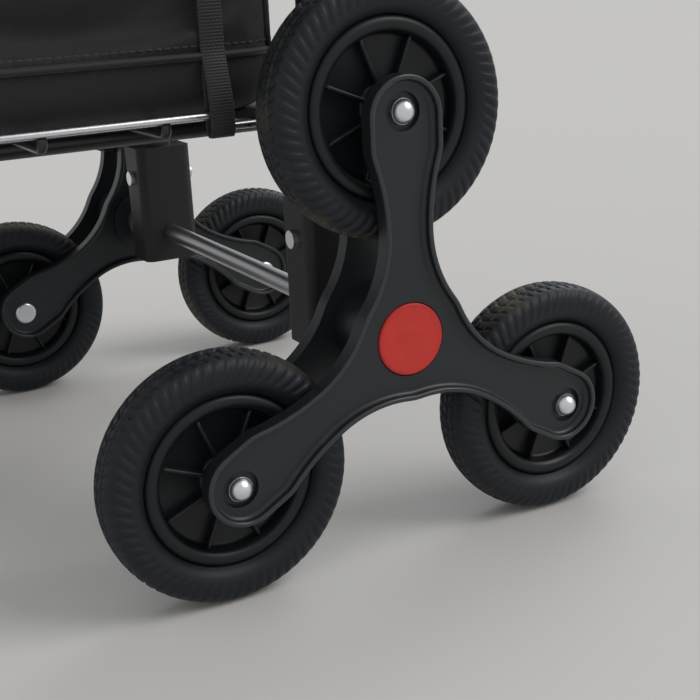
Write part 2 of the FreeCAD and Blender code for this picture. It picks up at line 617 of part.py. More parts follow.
def bag_strap():
    """Webbing from under the base, outside the hoop and up the side of the bag."""
    t, outside = STRAP_THICK, RAIL_Y + RAIL_R + 0.4
    against_bag, lean_low, lean_high = BAG_HALF + 0.3, RAIL_HIGH + 8, RAIL_HIGH + 26
    line = [(outside, WIRE_Z - 4), (outside, lean_low), (against_bag, lean_high), (against_bag, BAG_TOP - 60)]
    ribbon = [at(STRAP_X - STRAP_WIDTH / 2, -y, z) for y, z in line]
    ribbon += [at(STRAP_X - STRAP_WIDTH / 2, -(y + t), z) for y, z in reversed(line)]
    return Part.Face(Part.makePolygon(ribbon + ribbon[:1])).extrude(V(STRAP_WIDTH, 0, 0))


UPPER_BAR_Z, UPPER_BAR_R = UPRIGHT_TOP - 60.0, 7.0


def bag_loop():
    """Webbing loop that hangs the bag on the upper crossbar."""
    y, width = -70.0, 30.0
    loop = ring(UPPER_BAR_R + 1.8, UPPER_BAR_R + 0.2, at(0, y, UPPER_BAR_Z), at(0, y + width, UPPER_BAR_Z))
    tail = box(at(BAG_BACK + 0.2, y, UPPER_BAR_Z - 0.8),
               at(-(UPPER_BAR_R + 0.8), y + width, UPPER_BAR_Z + 0.8))
    patch = box(at(BAG_BACK + 0.2, y, UPPER_BAR_Z - 20), at(BAG_BACK + 1.8, y + width, UPPER_BAR_Z + 20))
    return fused([loop, tail, patch])


# ---- handle ----
def handle_tube():
    """U-shaped tube that slides in the uprights."""
    points = [at(0, -UPRIGHT_Y, HANDLE_BOTTOM), at(0, -UPRIGHT_Y, HANDLE_TOP),
              at(0, UPRIGHT_Y, HANDLE_TOP), at(0, UPRIGHT_Y, HANDLE_BOTTOM)]
    bends = [HANDLE_BEND, HANDLE_BEND]
    tube = rod(points, bends, HANDLE_R).cut(rod(points, bends, HANDLE_R - HANDLE_WALL))
    for side in (-1, 1):
        tube = tube.cut(cylinder(LOCK_R + 0.2, at(0, side * (UPRIGHT_Y + 15), LOCK_Z),
                                 at(0, side * UPRIGHT_Y, LOCK_Z)))
    return tube


def handle_grip():
    """Foam sleeve on the middle of the handle."""
    half = UPRIGHT_Y - HANDLE_BEND - GRIP_SHORT
    grip = ring(GRIP_R, HANDLE_R, at(0, -half, HANDLE_TOP), at(0, half, HANDLE_TOP))
    ends = [e for e in grip.Edges if e.Length > 80 and abs(abs(e.CenterOfMass.y) - half) < 1e-3]
    return grip.makeFillet(4.0, ends)


def handle_lock_clip():
    """Spring clip inside the handle: its button snaps in a hole of the upright."""
    button = cylinder(LOCK_R, at(0, -UPRIGHT_Y - UPRIGHT_R - 2.2, LOCK_Z), at(0, -UPRIGHT_Y - 4.2, LOCK_Z))
    outer = [e for e in button.Edges if e.CenterOfMass.y < -UPRIGHT_Y - UPRIGHT_R - 2.1]
    button = button.makeFillet(1.2, outer)
    leaf = box(at(-2.5, -UPRIGHT_Y - 5.2, LOCK_Z - 34), at(2.5, -UPRIGHT_Y - 4.2, LOCK_Z + 8))
    return fused([button, leaf])


# ---- write every node ----
def main():
    os.makedirs("parts", exist_ok=True)

    cluster = {"outer_spider": outer_spider(), "inner_spider": inner_spider(), "wheel_bolts": wheel_bolts(),
               "dome_nuts": dome_nuts(), "wheel_sleeves": wheel_sleeves(), "release_core": release_core(),
               "circlip": circlip(), "lock_clip": lock_clip(), "release_button": release_button(),
               "button_spring": button_spring()}
    for place, angle in ARM_ANGLES.items():
        cluster[place + "_tyre"] = tyre(angle)
        cluster[place + "_rim"] = rim(angle)
    for name, shape in cluster.items():
        save("left_" + name, shape)
        save("right_" + name, mirrored(shape))

    for name, shape in (("axle_bracket", axle_bracket()), ("upright", upright())):
        save("left_" + name, shape)
        save("right_" + name, mirrored(shape))

    spacer = ring(9.0, AXLE_R + SLIP, at(0, left(CIRCLIP_IN - 1.6), AXLE_Z), at(0, -BRACKET_OUT, AXLE_Z))
    pairs = {"axle_spacers": spacer, "bracket_screws": bracket_screw(), "upright_collars": upright_collar(),
             "rail_clamps": rail_clamp(), "base_side_tubes": base_side_tube(), "foot_caps": foot_cap(),
             "bag_straps": bag_strap(), "bag_loops": bag_loop(), "handle_lock_clips": handle_lock_clip()}
    for name, shape in pairs.items():
        save(name, both_sides(shape))

    single = {"axle": axle(), "upper_crossbar": between_uprights(UPPER_BAR_Z, UPPER_BAR_R),
              "lower_crossbar": between_uprights(BASE_TUBE_Z, FOOT_TUBE_R),
              "front_foot_tube": front_foot_tube(), "cradle_hoop": cradle_hoop(), "base_wires": base_wires(),
              "base_board": base_board(), "bag_panels": bag_panels(), "bag_corners": bag_corners(),
              "bag_floor": bag_floor(), "bag_pocket": bag_pocket(),
              "bag_flap": bag_flap(), "handle_tube": handle_tube(), "handle_grip": handle_grip()}
    for name, shape in single.items():
        save(name, shape)


main()
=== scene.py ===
"""Shopping trolley with tri-star stair-climbing wheel clusters: the finished looks.

Everything is in metres in the object's own frame: +Z up, the axle along Y, the bag in
front of the uprights towards -X.  Places come from the frame's own boxes.  "Out" is the
distance outboard of a wheel's mid-plane, as it is in the part.
"""
import math

import bpy
import bmesh
import numpy as np
from mathutils import Matrix, Vector


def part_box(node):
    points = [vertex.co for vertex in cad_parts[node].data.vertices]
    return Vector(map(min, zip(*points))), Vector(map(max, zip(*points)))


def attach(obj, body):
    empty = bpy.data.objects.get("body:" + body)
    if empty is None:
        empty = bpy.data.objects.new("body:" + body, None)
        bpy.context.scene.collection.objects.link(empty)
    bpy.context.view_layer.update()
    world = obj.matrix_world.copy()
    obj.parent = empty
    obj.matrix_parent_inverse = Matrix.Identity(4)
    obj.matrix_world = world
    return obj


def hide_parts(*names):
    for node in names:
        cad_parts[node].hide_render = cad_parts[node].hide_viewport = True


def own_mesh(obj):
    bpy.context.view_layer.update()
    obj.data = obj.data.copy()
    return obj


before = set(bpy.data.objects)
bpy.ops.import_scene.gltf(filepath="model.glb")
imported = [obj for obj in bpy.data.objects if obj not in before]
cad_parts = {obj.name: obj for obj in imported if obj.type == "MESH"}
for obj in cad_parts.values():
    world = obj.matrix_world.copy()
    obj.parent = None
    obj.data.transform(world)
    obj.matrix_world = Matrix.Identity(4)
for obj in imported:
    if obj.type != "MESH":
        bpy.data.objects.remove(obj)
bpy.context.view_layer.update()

MM = 0.001
PER_METRE = 1000.0
TAU = 2 * math.pi
SIDES = {"left": -1, "right": 1}
PLACES = ("top", "front", "rear")


def middle(node):
    """The centre of a CAD node's box."""
    low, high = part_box(node)
    return (low + high) / 2


HUB = {side: Vector((middle(side + "_release_core").x, middle(side + "_top_rim").y,
                     middle(side + "_release_core").z)) for side in SIDES}
ARM = middle("left_top_rim").z - HUB["left"].z


# ---------------------------------------------------------------- meshes
def wrap_faces(nu, nv, wrap_u, wrap_v):
    """Quads of an nu by nv grid, joined across its ends where it wraps."""
    u = np.arange(nu if wrap_u else nu - 1)
    v = np.arange(nv if wrap_v else nv - 1)
    uu, vv = np.meshgrid(u, v, indexing="ij")
    u1, v1 = (uu + 1) % nu, (vv + 1) % nv
    quads = np.stack([uu * nv + vv, u1 * nv + vv, u1 * nv + v1, uu * nv + v1], -1)
    return quads.reshape(-1, 4)


def face_outwards(obj):
    """Doubles merged, then every face turned to point out of its shell."""
    work = bmesh.new()
    work.from_mesh(obj.data)
    bmesh.ops.remove_doubles(work, verts=work.verts, dist=1e-7)
    bmesh.ops.recalc_face_normals(work, faces=work.faces)
    work.to_mesh(obj.data)
    work.free()


def shade_smooth(obj):
    """Every face smooth."""
    obj.data.polygons.foreach_set("use_smooth", np.full(len(obj.data.polygons), True))
    obj.data.update()
    return obj


def mesh_object(name, points, faces, attributes=(), recalc=True):
    """A smooth object at the origin from points (..., 3), faces and a value per point."""
    mesh = bpy.data.meshes.new(name)
    mesh.from_pydata(points.reshape(-1, 3).tolist(), [], faces)
    for label, values in attributes:
        layer = mesh.attributes.new(label, "FLOAT", "POINT")
        layer.data.foreach_set("value", np.asarray(values, np.float32).ravel())
    obj = bpy.data.objects.new(name, mesh)
    bpy.context.scene.collection.objects.link(obj)
    if recalc:
        face_outwards(obj)
    return shade_smooth(obj)


def grid_object(name, points, wrap_u=False, wrap_v=False, caps=False, attributes=(), recalc=True):
    """A surface from points (nu, nv, 3); caps close the first and last row along v."""
    nu, nv = points.shape[:2]
    faces = wrap_faces(nu, nv, wrap_u, wrap_v).tolist()
    if caps:
        faces += [[i * nv for i in range(nu)][::-1], [i * nv + nv - 1 for i in range(nu)]]
    return mesh_object(name, points, faces, attributes, recalc)


def joined(name, objects):
    """One piece from several meshes, with their attributes."""
    bpy.ops.object.select_all(action="DESELECT")
    for obj in objects:
        obj.select_set(True)
    bpy.context.view_layer.objects.active = objects[0]
    bpy.ops.object.join()
    objects[0].name = name
    return objects[0]


def smoothstep(low, high, x):
    """0 at low, 1 at high, with an S-shaped rise between; low may be the larger."""
    t = np.clip((x - low) / (high - low), 0, 1)
    return t * t * (3 - 2 * t)


def through(points, count):
    """count points evenly along a Catmull-Rom curve through a short list of points."""
    p = np.asarray(points, float)
    ends = np.vstack([2 * p[:1] - p[1:2], p, 2 * p[-1:] - p[-2:-1]])
    t = np.linspace(0, 1, 24, endpoint=False)[:, None]
    runs = []
    for a, b, c, d in zip(ends, ends[1:], ends[2:], ends[3:]):
        runs.append(0.5 * (2 * b + (c - a) * t + (2 * a - 5 * b + 4 * c - d) * t**2
                           + (3 * b - a - 3 * c + d) * t**3))
    dense = np.vstack(runs + [p[-1:]])
    return along(dense, count)


def along(line, count):
    """count points evenly spaced along a polyline."""
    line = np.asarray(line, float)
    length = np.concatenate([[0], np.cumsum(np.linalg.norm(np.diff(line, axis=0), axis=1))])
    s = np.linspace(0, length[-1], count)
    return np.stack([np.interp(s, length, line[:, k]) for k in range(line.shape[1])], 1)


def frames_along(path, up=(0, 0, 1), closed=False):
    """Sideways and normal unit vectors along a path, kept close to one up direction."""
    tangent = (np.roll(path, -1, 0) - np.roll(path, 1, 0)) if closed else np.gradient(path, axis=0)
    tangent /= np.linalg.norm(tangent, axis=1)[:, None]
    side = np.cross(tangent, np.asarray(up, float))
    side /= np.linalg.norm(side, axis=1)[:, None] + 1e-12
    return side, np.cross(side, tangent)


def swept(name, path, section, up=(0, 0, 1), closed=False):
    """A section (k, 2) of (sideways, normal) offsets carried along a path."""
    path = np.asarray(path, float)
    side, normal = frames_along(path, up, closed)
    section = np.asarray(section, float)
    points = path[:, None] + side[:, None] * section[None, :, :1] + normal[:, None] * section[None, :, 1:]
    return grid_object(name, points.transpose(1, 0, 2), wrap_u=True, wrap_v=closed, caps=not closed)


def circle_section(radius, count=10):
    """Points evenly round a circle."""
    turn = np.arange(count) * TAU / count
    return np.stack([radius * np.cos(turn), radius * np.sin(turn)], 1)


def band_section(width, thick, count=5):
    """A flat band with rounded edges: two long sides and a half round at each end."""
    turn = np.linspace(-math.pi / 2, math.pi / 2, count)
    r = thick / 2
    right = np.stack([width / 2 - r + r * np.cos(turn), r * np.sin(turn)], 1)
    return np.vstack([right, -right])


def turned(name, centre, profile, count=96):
    """A surface of revolution: profile points (radius, out) swept once round an axis along Y."""
    profile = np.asarray(profile, float)
    turn = np.arange(count) * TAU / count
    r, out = profile[:, 0], profile[:, 1]
    x = centre[0] + np.cos(turn)[:, None] * r[None]
    z = centre[2] + np.sin(turn)[:, None] * r[None]
    y = centre[1] + np.broadcast_to(out, x.shape)
    return grid_object(name, np.stack([x, y, z], -1), wrap_u=True, wrap_v=True)


# ---------------------------------------------------------------- materials
class Value:
    """A shader socket in an expression: arithmetic on it adds the Math nodes it needs."""

    def __init__(self, finish, socket):
        self.finish, self.socket = finish, socket

    def math(self, operation, *others):
        return self.finish.add("ShaderNodeMath", {"operation": operation},
                               {i: v for i, v in enumerate((self,) + others)})

    def __add__(self, other):
        return self.math("ADD", other)

    __radd__ = __add__

    def __mul__(self, other):
        return self.math("MULTIPLY", other)

    __rmul__ = __mul__

    def __sub__(self, other):
        return self.math("SUBTRACT", other)

    def __rsub__(self, other):
        return self.finish.add("ShaderNodeMath", {"operation": "SUBTRACT"}, {0: other, 1: self})

    def __pow__(self, other):
        return self.math("POWER", other)

    def sine(self):
        return self.math("SINE")

    def ramp(self, low, high):
        """0 below low, 1 above high, smooth between; low may be the larger."""
        flip = low > high
        low, high = min(low, high), max(low, high)
        step = self.finish.add("ShaderNodeMapRange", {"interpolation_type": "SMOOTHSTEP"},
                               {"Value": self, "From Min": low, "From Max": high})
        return 1 - step if flip else step


class Finish:
    """One material: a Principled shader and the nodes that vary it."""

    def __init__(self, name, roughness=0.5, metallic=0.0, **settings):
        self.material = bpy.data.materials.new(name)
        self.material.use_nodes = True
        self.tree = self.material.node_tree
        self.tree.nodes.clear()
        fixed = {label.replace("_", " "): value for label, value in settings.items()}
        fixed.update(Roughness=roughness, Metallic=metallic)
        surface = self.add("ShaderNodeBsdfPrincipled", {}, fixed)
        self.shader = surface.socket.node
        self.add("ShaderNodeOutputMaterial", {}, {"Surface": surface}, output=None)
        self.place = self.add("ShaderNodeTexCoord", output="Object")

    def add(self, kind, settings=None, inputs=None, output=0):
        """A node of a type, its settings set first, then the values or links of its sockets."""
        node = self.tree.nodes.new(kind)
        for label, value in (settings or {}).items():
            if label == "stops":
                ramp = node.color_ramp
                while len(ramp.elements) < len(value):
                    ramp.elements.new(0.5)
                for element, (at, colour) in zip(ramp.elements, value):
                    element.position, element.color = at, (*colour, 1)
            else:
                setattr(node, label, value)
        for label, value in (inputs or {}).items():
            socket = node.inputs[label]
            if isinstance(value, Value):
                self.tree.links.new(value.socket, socket)
            else:
                socket.default_value = value
        return None if output is None else Value(self, node.outputs[output])

    def noise(self, size, detail=2.0, rough=0.5, where=None, output=0):
        """Noise whose features are about this large, in metres."""
        return self.add("ShaderNodeTexNoise", {}, {"Vector": where or self.place, "Scale": 1 / size,
                                                   "Detail": detail, "Roughness": rough}, output)

    def axes(self):
        """The three coordinates, each as a value."""
        first = self.add("ShaderNodeSeparateXYZ", {}, {0: self.place})
        return [Value(self, socket) for socket in first.socket.node.outputs]

    def attribute(self, label):
        """A value stored at each point of the piece."""
        return self.add("ShaderNodeAttribute", {"attribute_name": label}, output="Fac")

    def blend(self, factor, first, second):
        """Two colours mixed by a value."""
        ends = [colour if isinstance(colour, Value) else (*colour, 1) for colour in (first, second)]
        return self.add("ShaderNodeMix", {"data_type": "RGBA"}, {0: factor, 6: ends[0], 7: ends[1]}, 2)

    def feed(self, label, value):
        """A value or colour led into one of the shader's sockets."""
        self.tree.links.new(value.socket, self.shader.inputs[label])
        return self

    def colour(self, value):
        """A colour led into the shader."""
        return self.feed("Base Color", value)

    def bump(self, height, distance):
        """Relief from a height of 0 to 1, standing this many metres."""
        return self.feed("Normal", self.add("ShaderNodeBump", {}, {"Height": height, "Distance": distance}))


def hub_radius(finish):
    """Distance from the axle, in the plane of the wheels."""
    x, _, z = finish.axes()
    dx, dz = x - HUB["left"].x, z - HUB["left"].z
    return (dx * dx + dz * dz) ** 0.5


def moulded_black(name, base, rough, grain=0.0005, relief=0.00003, dust=0.25):
    """Injection-moulded nylon: a fine grain, faint flow marks and settled dust."""
    f = Finish(name, Specular_IOR_Level=0.38)
    grains = f.noise(grain, 3.0, 0.6)
    flow = f.noise(0.045, 3.0, 0.55)
    specks = f.noise(0.0022, 4.0, 0.7).ramp(0.62, 0.74) * f.noise(0.03, 2.0).ramp(0.42, 0.66)
    tone = f.blend(flow, tuple(c * 0.82 for c in base), tuple(c * 1.2 for c in base))
    f.colour(f.blend(specks * dust, tone, (0.19, 0.175, 0.15)))
    f.feed("Roughness", rough + (flow - 0.5) * 0.16 + (grains - 0.5) * 0.08 + specks * 0.2)
    return f.bump(grains, relief).material


def spider_plastic(side):
    """Satin black nylon; the top of the lip is smoother and painted lighter, partly rubbed wear and partly a
    painted highlight.
    """
    f = Finish("spider_plastic_" + side, Specular_IOR_Level=0.5, Coat_Roughness=0.3)
    _, y, _ = f.axes()
    out = (y * SIDES[side] - abs(HUB[side].y)) * PER_METRE
    lip_top_wear_and_highlight = out.ramp(23.6, 24.7)
    grains, flow = f.noise(0.0007, 3.0, 0.6), f.noise(0.06, 3.0, 0.5)
    scuffs = f.noise(0.0035, 5.0, 0.75).ramp(0.6, 0.72)
    dust = f.noise(0.0016, 3.0, 0.6).ramp(0.64, 0.76) * f.noise(0.04, 2.0).ramp(0.4, 0.62)
    tone = f.blend(flow, (0.0078, 0.0104, 0.0128), (0.0130, 0.0168, 0.0200))
    # Painted lighter along the top of the lip: partly rubbed wear, partly a painted highlight.
    lip_wear_and_highlight_tone = f.blend(lip_top_wear_and_highlight * (0.35 + scuffs * 0.5), tone, (0.052, 0.056, 0.06))
    f.colour(f.blend(dust * 0.16, lip_wear_and_highlight_tone, (0.2, 0.18, 0.15)))
    f.feed("Roughness", 0.4 + (flow - 0.5) * 0.12 + (grains - 0.5) * 0.06 - lip_top_wear_and_highlight * 0.08 + dust * 0.2)
    return f.bump(grains, 0.000035).material


def tyre_rubber():
    """Black rubber with dry dust in the tread; attribute "tread" is 1 on top of a lug."""
    f = Finish("tyre_rubber", Specular_IOR_Level=0.36)
    tread, reach = f.attribute("tread"), f.attribute("reach")
    grains, cloud = f.noise(0.0006, 3.0, 0.65), f.noise(0.02, 3.0, 0.6)
    patch = f.noise(0.06, 2.0, 0.5).ramp(0.44, 0.64)
    rubber = f.blend(cloud, (0.0038, 0.0054, 0.0086), (0.0092, 0.0126, 0.0188))
    dusty = reach.ramp(0.8, 0.99) * (0.12 + patch * 0.88) * (0.3 + cloud)
    film = dusty * (0.45 + (1 - tread) * 0.35) * 0.85
    f.colour(f.blend(film.ramp(0.0, 0.95), rubber, (0.15, 0.135, 0.088)))
    f.feed("Roughness", 0.52 + (cloud - 0.5) * 0.18 + film * 0.3)
    return f.bump(grains, 0.00005).material


def red_plastic():
    """Matt red moulding with a faint orange-peel, darkened towards its outer rim where it sits in its bore:
    painted shade.
    """
    f = Finish("red_plastic", Specular_IOR_Level=0.4)
    r = hub_radius(f) * PER_METRE
    peel, flow = f.noise(0.0012, 2.0), f.noise(0.012, 3.0)
    tone = f.blend(flow, (0.52, 0.026, 0.019), (0.64, 0.038, 0.027))
    # Painted shade: the button is darkened towards its outer rim, where it sits down in its bore.
    edge = r.ramp(15.5, 18.6)
    f.colour(f.blend(edge * 0.35, tone, (0.36, 0.016, 0.013)))
    f.feed("Roughness", 0.42 + (flow - 0.5) * 0.15 + edge * 0.1)
    return f.bump(peel, 0.00004).material


def bright_zinc(name, base=(0.87, 0.91, 0.95), rough=0.32):
    """Bright zinc plate, faintly blue, with fine drawn marks and duller patches."""
    f = Finish(name, metallic=1.0)
    cloud, fine = f.noise(0.004, 4.0, 0.6), f.noise(0.0004, 2.0)
    f.colour(f.blend(cloud, tuple(c * 0.84 for c in base), base))
    f.feed("Roughness", rough + (cloud - 0.4) * 0.22)
    return f.bump(fine, 0.000012).material


def brushed_metal(name, base, rough, along_axis=2):
    """Drawn or anodised metal: streaks that run along one axis."""
    f = Finish(name, metallic=1.0)
    stretch = [1.0, 1.0, 1.0]
    stretch[along_axis] = 0.02
    laid = f.add("ShaderNodeMapping", {}, {"Vector": f.place, "Scale": tuple(stretch)})
    streaks, cloud = f.noise(0.0006, 3.0, 0.6, laid), f.noise(0.03, 3.0)
    f.colour(f.blend(streaks * 0.6 + cloud * 0.4, tuple(c * 0.86 for c in base), base))
    f.feed("Roughness", rough + (streaks - 0.5) * 0.14 + (cloud - 0.5) * 0.1)
    return f.bump(streaks, 0.00001).material


def powder_coat():
    """Black powder coat on tube: tiny even bumps, chips of dust."""
    f = Finish("powder_coat", Specular_IOR_Level=0.5)
    peel, cloud = f.noise(0.0011, 2.0, 0.5), f.noise(0.05, 3.0)
    f.colour(f.blend(cloud, (0.012, 0.012, 0.013), (0.02, 0.02, 0.022)))
    f.feed("Roughness", 0.33 + (cloud - 0.5) * 0.16)
    return f.bump(peel, 0.00006).material


def plain_weave(name, base, thread=0.0011, rough=0.62, sheen=0.25, across=None):
    """Woven polyester: over-and-under threads across two of the piece's axes, slightly slubby."""
    f = Finish(name, Sheen_Weight=sheen, Sheen_Roughness=0.4, Specular_IOR_Level=0.3)
    x, y, z = f.axes()
    flat = (x + y) if across is None else (x, y, z)[across]
    warp, weft = (flat * (TAU / thread)).sine(), (z * (TAU / thread)).sine()
    weave = (warp * weft) * 0.5 + 0.5
    slub, cloud = f.noise(0.004, 3.0, 0.6), f.noise(0.07, 3.0, 0.5)
    f.colour(f.blend(weave * 0.4 + slub * 0.35 + cloud * 0.25,
                     tuple(c * 0.7 for c in base), tuple(c * 1.35 for c in base)))
    f.feed("Roughness", rough + (weave - 0.5) * 0.12 + (cloud - 0.5) * 0.1)
    return f.bump(weave * 0.8 + slub * 0.2, 0.00016).material


def webbing_weave():
    """Ribbed webbing: cross ribs with a fine herringbone, lighter than the bag."""
    f = Finish("webbing_weave", Sheen_Weight=0.3, Sheen_Roughness=0.4, Specular_IOR_Level=0.35)
    x, y, z = f.axes()
    ribs = ((z + y * 0.4) * (TAU / 0.0016)).sine() * 0.5 + 0.5
    twill = ((x + z * 0.5) * (TAU / 0.0022)).sine() * 0.5 + 0.5
    slub = f.noise(0.006, 3.0)
    f.colour(f.blend(ribs * 0.5 + slub * 0.5, (0.011, 0.0115, 0.013), (0.028, 0.0295, 0.033)))
    f.feed("Roughness", 0.55 + (slub - 0.5) * 0.2)
    return f.bump(ribs * 0.7 + twill * 0.3, 0.0002).material


def foam():
    """Closed-cell foam: fine pores and a soft, slightly greyed skin."""
    f = Finish("grip_foam", Sheen_Weight=0.15, Sheen_Roughness=0.5, Specular_IOR_Level=0.25)
    pores = f.add("ShaderNodeTexVoronoi", {"feature": "F1"}, {"Vector": f.place, "Scale": 900.0})
    cloud = f.noise(0.02, 3.0)
    f.colour(f.blend(cloud, (0.014, 0.014, 0.015), (0.028, 0.028, 0.03)))
    f.feed("Roughness", 0.78 + (cloud - 0.5) * 0.2)
    return f.bump(pores, 0.00018).material


def soft_rubber():
    """Matt black rubber, scuffed grey where it meets the floor."""
    f = Finish("foot_rubber", Specular_IOR_Level=0.35)
    cloud, grains = f.noise(0.012, 4.0, 0.65), f.noise(0.0008, 3.0)
    _, _, z = f.axes()
    scuffed = z.ramp(0.014, 0.0) * (0.4 + cloud * 0.8)
    f.colour(f.blend(scuffed * 0.6, (0.018, 0.018, 0.019), (0.12, 0.11, 0.1)))
    f.feed("Roughness", 0.66 + (cloud - 0.5) * 0.2)
    return f.bump(grains, 0.00006).material


FABRIC = plain_weave("bag_fabric", (0.0105, 0.0108, 0.0122), sheen=0.2)
FABRIC_FRONT = plain_weave("bag_fabric_front", (0.0105, 0.0108, 0.0122), sheen=0.2, across=1)
LINING = plain_weave("bag_lining", (0.10, 0.105, 0.115), thread=0.0008, rough=0.5, sheen=0.1)
PIPING = plain_weave("piping", (0.016, 0.0165, 0.0185), thread=0.0012, rough=0.5)
WEBBING = webbing_weave()
TYRE = tyre_rubber()
RIM = moulded_black("rim_plastic", (0.0052, 0.0068, 0.0088), 0.4)
FRAME_PLASTIC = moulded_black("frame_plastic", (0.015, 0.015, 0.017), 0.5, grain=0.0009, relief=0.00008)
BUCKLE = moulded_black("buckle_plastic", (0.014, 0.014, 0.015), 0.34, dust=0.1)
NYLON = moulded_black("core_nylon", (0.42, 0.42, 0.38), 0.45, dust=0.3)
SPIDER = {side: spider_plastic(side) for side in SIDES}
RED = red_plastic()
ZINC = bright_zinc("bright_zinc")
WIRE = bright_zinc("bright_wire", (0.72, 0.74, 0.77), 0.26)
STEEL = brushed_metal("drawn_steel", (0.46, 0.47, 0.48), 0.34, along_axis=1)
ANODISED = brushed_metal("satin_aluminium", (0.66, 0.67, 0.69), 0.3)
POWDER = powder_coat()
FOAM = foam()
FOOT = soft_rubber()
THREAD = plain_weave("stitch_thread", (0.036, 0.037, 0.04), thread=0.0004, rough=0.5)


def dress(obj, material):
    """The piece in one material."""
    obj.data.materials.clear()
    obj.data.materials.append(material)
    return obj


def fitted(piece, material, body):
    """The piece in its material, riding on a body."""
    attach(dress(piece, material), body)
    return piece


# ---------------------------------------------------------------- wheels
LUGS, STEPS_A_LUG = 64, 12
TREAD_DEPTH = 0.95                  # mm
RIBS = 8
TYRE_RUN = ((45.05, -8.6), (45.7, -9.3), (46.8, -10.7), (49.2, -12.6), (52.6, -13.7), (56.0, -13.95),
            (59.2, -13.4), (61.6, -12.0), (63.3, -9.7), (64.3, -6.8), (64.85, -3.4), (65.0, 0.0))


def tyre_piece(side, place):
    """Solid tyre with slanted shoulder lugs and a blocked crown.

    The profile runs from one bead over the crown to the other and back under along the
    seat.  A height field is taken off it: slanted grooves on the shoulders, LUGS round
    the wheel, and on the crown the same grooves bent into chevrons, two grooves running
    round and a zigzag middle line.
    """
    node = f"{side}_{place}_tyre"
    centre = middle(f"{side}_{place}_rim")
    half = np.array(TYRE_RUN)
    run = through(np.vstack([half, half[-2::-1] * [1, -1]]), 84)
    seat = np.array([(45.05, 4.0), (45.05, -4.0)])
    profile = np.vstack([run, seat])
    steps = LUGS * STEPS_A_LUG
    u = np.arange(steps) * TAU / steps
    r, out = profile[:, 0][None], profile[:, 1][None] * SIDES[side]
    rounds = u[:, None] / TAU * LUGS

    crown = smoothstep(9.4, 8.0, np.abs(out)) * smoothstep(56.0, 60.0, r)
    shoulder = smoothstep(51.5, 54.0, r) * (1 - crown)
    lean = (62.0 - r) * 0.085 * np.sign(out)
    bars = np.abs((rounds + lean) % 1 - 0.5)
    shoulder_cut = smoothstep(0.2, 0.36, bars) * shoulder * smoothstep(64.0, 61.0, r)
    chevron = np.abs((rounds + np.abs(out) * 0.075 + 0.14) % 1 - 0.5)
    cross_cut = smoothstep(0.31, 0.41, chevron) * crown
    ring_cut = smoothstep(0.85, 0.35, np.abs(np.abs(out) - 4.7)) * crown
    zigzag = np.abs((rounds / 2) % 1 - 0.5) * 4 - 1
    mid_cut = smoothstep(0.75, 0.3, np.abs(out - zigzag * 0.9)) * crown
    cut = np.maximum(np.maximum(shoulder_cut * 0.48, cross_cut * 0.8), np.maximum(ring_cut, mid_cut))
    depth = cut * TREAD_DEPTH

    slope = np.gradient(profile, axis=0)
    normal = np.stack([-slope[:, 1], slope[:, 0]], 1)
    normal /= np.linalg.norm(normal, axis=1)[:, None]
    outward = np.where((normal[:, 0] * (profile[:, 0] - 55) + normal[:, 1] * profile[:, 1]) < 0, -1, 1)
    normal *= outward[:, None]
    rr = r - depth * normal[None, :, 0]
    yy = out - depth * normal[None, :, 1] * SIDES[side]
    points = np.stack([centre.x + rr * np.cos(u)[:, None] * MM, centre.y + yy * MM,
                       centre.z + rr * np.sin(u)[:, None] * MM], -1)
    reach = np.broadcast_to(smoothstep(46, 65, r), rr.shape)
    piece = grid_object(f"{node}_tread", points, wrap_u=True, wrap_v=True,
                        attributes=(("tread", 1 - cut), ("reach", reach)), recalc=False)
    if signed_volume(piece) < 0:
        piece.data.flip_normals()
    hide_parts(node)
    fitted(piece, TYRE, f"{side}_{place}_wheel")


def shell_faces_in(obj, centre):
    """True where an open shell's walls, weighed by area, face towards its middle."""
    return sum(f.area * f.normal.dot(f.center - centre) for f in obj.data.polygons) < 0


def rim_piece(side, place):
    """Moulded rim: a turned section with a round bead ring and a stepped dish, and eight ribs.

    The section runs up the bore, over the hub, down to the web, up the dish wall and over
    the bead, and back the same way on the other face.  A rib is a flat band on edge that
    runs from the hub to the dish wall.
    """
    node = f"{side}_{place}_rim"
    centre = middle(node)
    face = [(6.1, 14.9), (6.5, 15.25), (10.7, 15.25), (11.4, 14.6), (12.2, 3.2), (12.9, 2.2), (14.2, 2.0),
            (34.6, 2.0), (35.8, 2.5), (36.4, 4.0), (36.7, 7.4)]
    turn = np.radians(np.linspace(150, 8, 13))
    bead = np.stack([40.9 + 4.0 * np.cos(turn), 6.9 + 3.6 * np.sin(turn)], 1)
    half = np.vstack([face, bead, [(44.95, 6.6)]])
    profile = np.vstack([half, half[::-1] * [1, -1]]) * MM
    parts = [turned(node + "_disc", centre, profile, 256)]
    for i in range(RIBS):
        angle = (i + 0.5) * TAU / RIBS
        radial = np.array([math.cos(angle), 0, math.sin(angle)])
        line = np.array(centre) + np.linspace(11.0, 37.0, 9)[:, None] * MM * radial
        parts.append(swept(f"{node}_rib_{i}", line, band_section(0.0152, 0.002, 9),
                           up=np.cross(radial, (0, 1, 0))))
    rim = joined(node + "_moulding", parts)
    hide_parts(node)
    fitted(rim, RIM, f"{side}_{place}_wheel")


def signed_volume(obj):
    """Positive where a closed mesh's faces point outwards."""
    work = bmesh.new()
    work.from_mesh(obj.data)
    volume = work.calc_volume(signed=True)
    work.free()
    return volume


